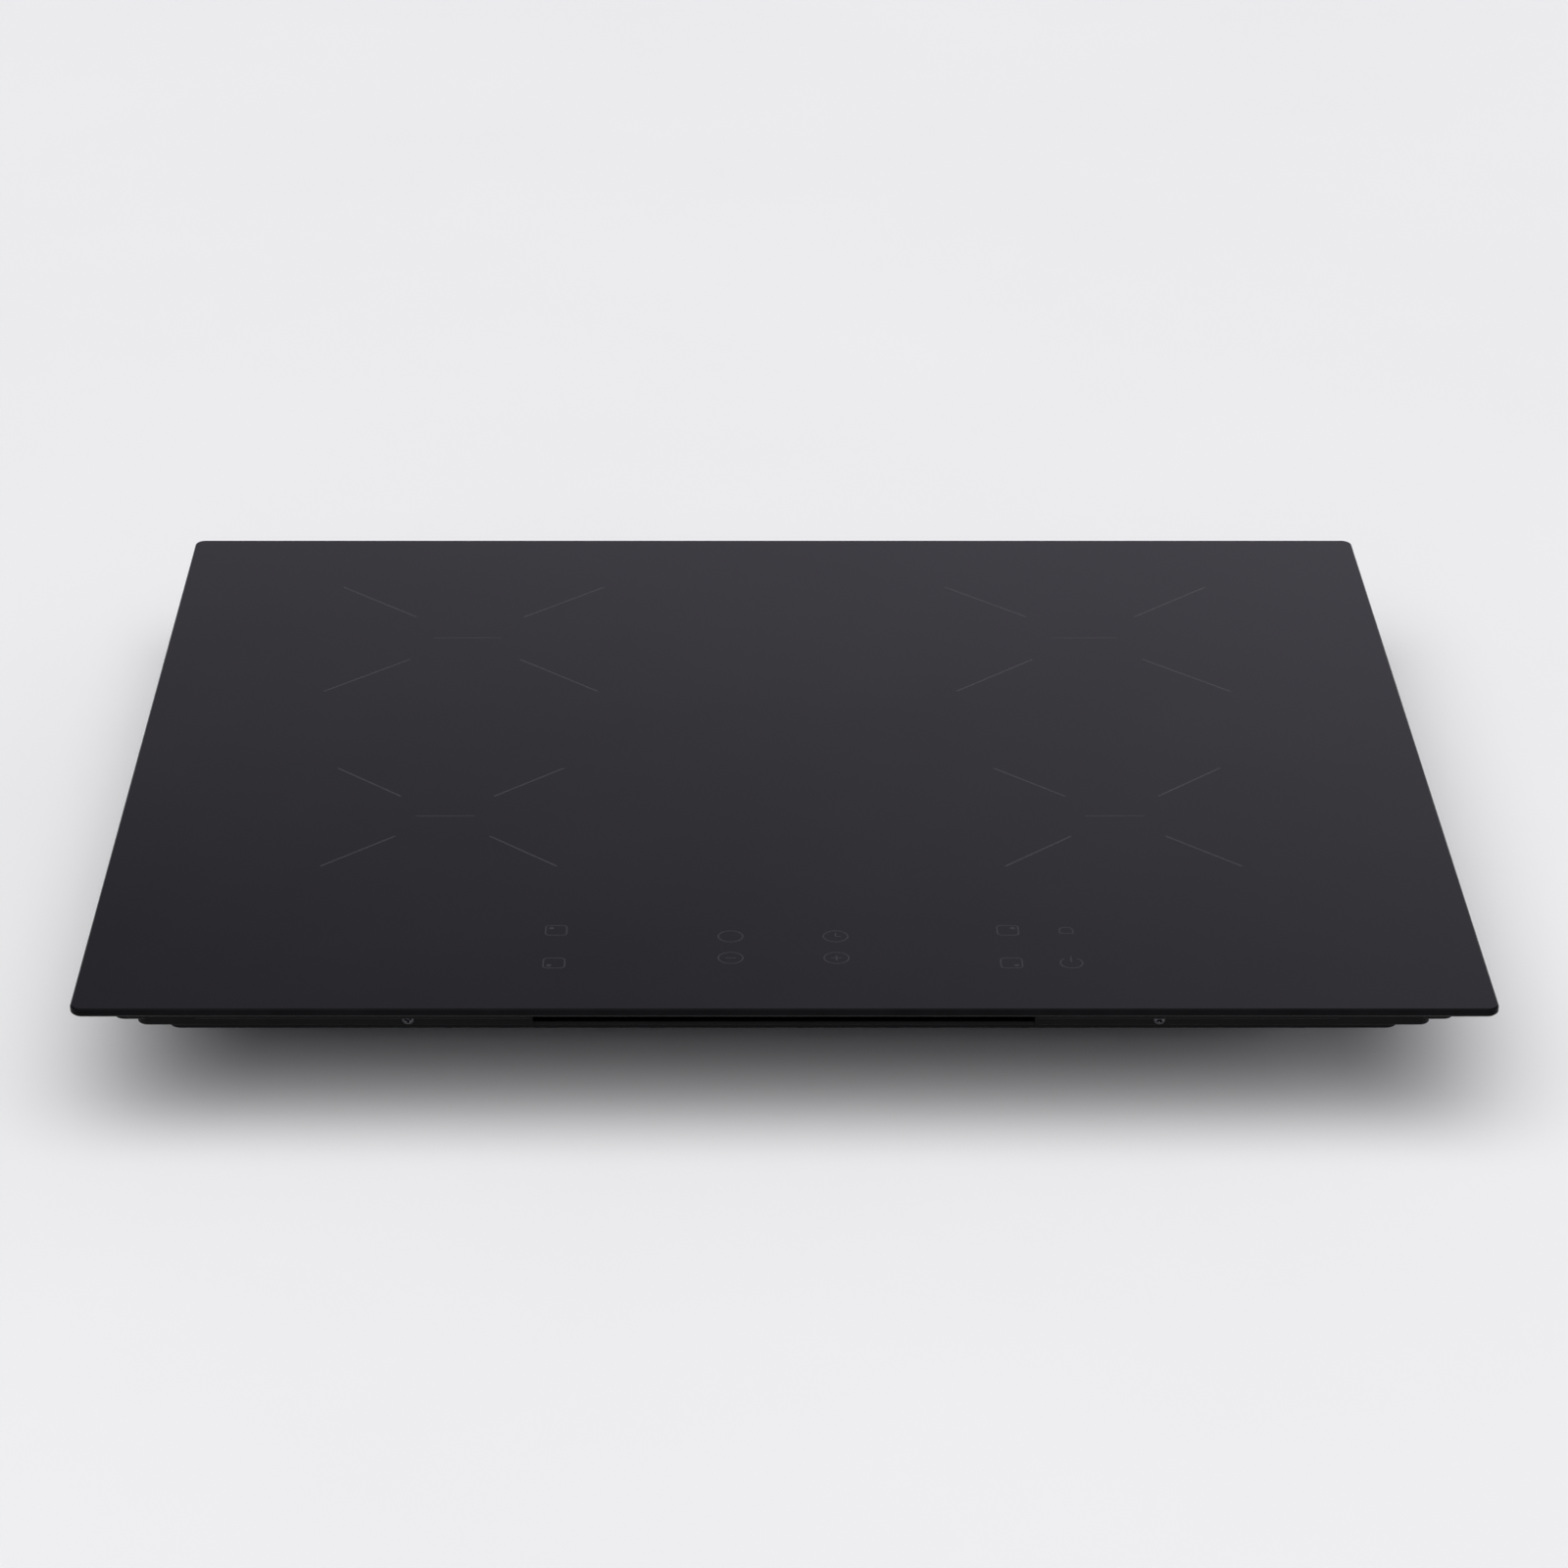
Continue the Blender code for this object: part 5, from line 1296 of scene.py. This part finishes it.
def touch_board():
    """Key board with a sensing spring under each touch mark."""
    low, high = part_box("touch_board")
    board = Board("touch_board", low, high, low.z, low.z + 0.0016, 0.0035)
    for x, y in KEYS:
        add_spring(board.shape, x, y, board.top + 0.0004, high.z - 0.0004, 0.0030, 0.00035, 3,
                   part=PALETTE.index("solder"))
    board.chip(0.055, -0.200, 0.010, 0.008, 0.0012, 8)
    board.chip(-0.058, -0.200, 0.008, 0.004, 0.0012, 5)
    for x, y in KEYS[:4]:
        board.block((x + 0.006, y - 0.0008), (x + 0.0076, y + 0.0008, 0.0008), "red", 0.0002)
    board.small_parts((-0.088, -0.212), (-0.070, -0.190), 4, 5)
    board.small_parts((0.070, -0.212), (0.086, -0.190), 4, 5)
    board.done("key_board")


def touch_tray():
    """Plastic tray that holds the touch board, with ribs across it."""
    low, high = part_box("touch_tray")
    radii = (0.0006, 0.0004, 0.0004, 0.0002, 0.0003, 0.0004)
    made = tray_shell("key_tray", low, high, high.z - low.z - 0.0024, radii, 0.004, 0.0008)
    ribs = bmesh.new()
    for i in range(1, 8):
        x = low.x + i * (high.x - low.x) / 8
        add_box(ribs, (x - 0.0006, low.y + 0.0030, low.z + 0.0013), (x + 0.0006, high.y - 0.0030, low.z + 0.0060))
    cut(made, ribs, "UNION")
    piece("key_tray", made, ("plastic",), "touch_tray")


def display_module():
    """Timer display: a dark red window over two unlit seven-segment digits."""
    low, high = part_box("display_module")
    shape = bmesh.new()
    add_soft_box(shape, low, (high.x, high.y, high.z - 0.00006), 0.0004)
    width, height, line = 0.0048, 0.0074, 0.0008
    for x in (-0.0042, 0.0042):
        y = (low.y + high.y) / 2
        bars = [((-width / 2 + line, rise - line / 2), (width / 2 - line, rise + line / 2))
                for rise in (-height / 2, 0, height / 2)]
        bars += [((side * width / 2 - line / 2, start + line * 0.6),
                  (side * width / 2 + line / 2, start + height / 2 - line * 0.6))
                 for side in (-1, 1) for start in (-height / 2, 0)]
        for a, b in bars:
            add_box(shape, (x + a[0], y + a[1], high.z - 0.00005), (x + b[0], y + b[1], high.z), 1)
    piece("timer_display", shape, ("red", "segment"), "display_module")


# Inside the terminal box.

def terminal_block():
    """Five screw terminals side by side, each with a plated screw down its well."""
    low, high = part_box("terminal_block")
    shape = bmesh.new()
    add_soft_box(shape, low, (high.x, high.y, low.z + 0.008), 0.0006)
    made = link("screw_terminals", shape)
    towers, wells, screws = bmesh.new(), bmesh.new(), bmesh.new()
    for i in range(5):
        x, y = low.x + 0.004 + i * 0.009, low.y + 0.009
        add_box(towers, (x - 0.0035, y - 0.005, low.z + 0.0075), (x + 0.0035, y + 0.005, high.z))
        add_rod(wells, (x, y, high.z - 0.001), 0.0023, 0.006)
        add_box(wells, (x - 0.0026, high.y - 0.004, low.z + 0.0015), (x + 0.0026, high.y + 0.001, low.z + 0.0060))
        add_rod(screws, (x, y, high.z - 0.0034), 0.0021, 0.0010, edge=0.0003)
    cut(made, towers, "UNION")
    cut(made, wells)
    piece("screw_terminals", made, ("white",), "terminal_block")
    piece("terminal_screws", screws, ("zinc",))


def cable_clamp():
    """Arched bar over the cord, with a screw head at each foot."""
    low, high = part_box("cable_clamp")
    x, y = centre("cable_clamp").xy
    foot, cord_z = 0.0108, low.z + 0.0045       # where the feet's screws stand, and the cord's middle height
    shape = bmesh.new()
    add_soft_box(shape, low, high, 0.0009, steps=3)
    made = link("cord_clamp", shape)
    bore = bmesh.new()
    add_rod(bore, (x, y, cord_z), 0.0055, 0.02, "X", segments=40)
    cut(made, bore)
    recess = bmesh.new()
    for side in (-1, 1):
        add_rod(recess, (x, y + side * foot, high.z), 0.0026, 0.006)
    cut(made, recess)
    piece("cord_clamp", made, ("white",), "cable_clamp")
    screws = bmesh.new()
    for side in (-1, 1):
        add_rod(screws, (x, y + side * foot, high.z - 0.0020), 0.0023, 0.0018, edge=0.0005)
    piece("clamp_feet_screws", screws, ("zinc",))


# The studio.

def studio():
    shape = bmesh.new()
    bmesh.ops.create_grid(shape, x_segments=1, y_segments=1, size=60)
    floor = link("studio_floor", shape)
    floor.location.z = -0.0002
    floor.data.materials.append(LOOK["floor"])
    sun = bpy.data.lights.new("soft_sky", "SUN")
    sun.energy, sun.angle = 2.5, radians(95)
    link("soft_sky", sun).rotation_euler = (radians(16), radians(-4), 0)
    soft_light("front_fill", (-0.7, -2.4, 1.5), (0, 0, 0), 1.6, 4)
    bpy.context.scene.view_settings.view_transform = "Standard"
    sky()


def sky():
    """Pale at the horizon and darker above it, and darker to the left than to the right."""
    world = bpy.data.worlds.new("studio")
    bpy.context.scene.world = world
    world.use_nodes = True
    tree = world.node_tree
    back = tree.nodes["Background"]
    slope = node(tree, "VectorMath", operation="DOT_PRODUCT")
    tree.links.new(node(tree, "TexCoord").outputs["Generated"], slope.inputs[0])
    slope.inputs[1].default_value = (0.37, 0, -1.36)
    level = node(tree, "Math", operation="ADD")
    level.inputs[1].default_value = 0.765
    tree.links.new(slope.outputs["Value"], level.inputs[0])
    colour = ramp(tree, level.outputs["Value"], ((0.0, (0.105, 0.10, 0.12)), (0.10, (0.105, 0.10, 0.12)),
                                                 (0.30, (0.31, 0.30, 0.35)), (0.80, (0.80, 0.80, 0.84))))
    tree.links.new(colour, back.inputs["Color"])
    back.inputs["Strength"].default_value = 1.0


def soft_light(name, at, aim, size, power):
    light = bpy.data.lights.new(name, "AREA")
    light.shape, light.size, light.energy = "DISK", size, power
    lamp = link(name, light)
    lamp.location = at
    lamp.rotation_euler = (Vector(aim) - Vector(at)).to_track_quat("-Z", "Y").to_euler()


def camera():
    """A long lens in front of the hob, looking down at it by 24.7 degrees."""
    lens = bpy.data.cameras.new("camera")
    lens.lens, lens.sensor_width, lens.shift_x = 109.1, 36.0, 0.0362
    made = link("camera", lens)
    made.location = (-0.0236, -1.9995, 0.9581)
    made.rotation_euler = (radians(65.3), 0, 0)
    bpy.context.scene.camera = made


LOOK = make_materials()
for build in (camera, studio, glass_piece, zone_marks, key_marks, seal_piece, frame_piece, casing_piece, pan_piece,
              blank_plate, fasteners, clamp_pieces, terminal_housing, terminal_cover, zone_pieces):
    build()
for word, direction in ENDS:
    coil_plate(word, direction)
    power_board(word, direction)
    for build in (heat_sink, board_tray, fan_frame, fan_rotor):
        build(word)
for build in (filter_board, filter_choke, touch_board, touch_tray, display_module, terminal_block, cable_clamp):
    build()
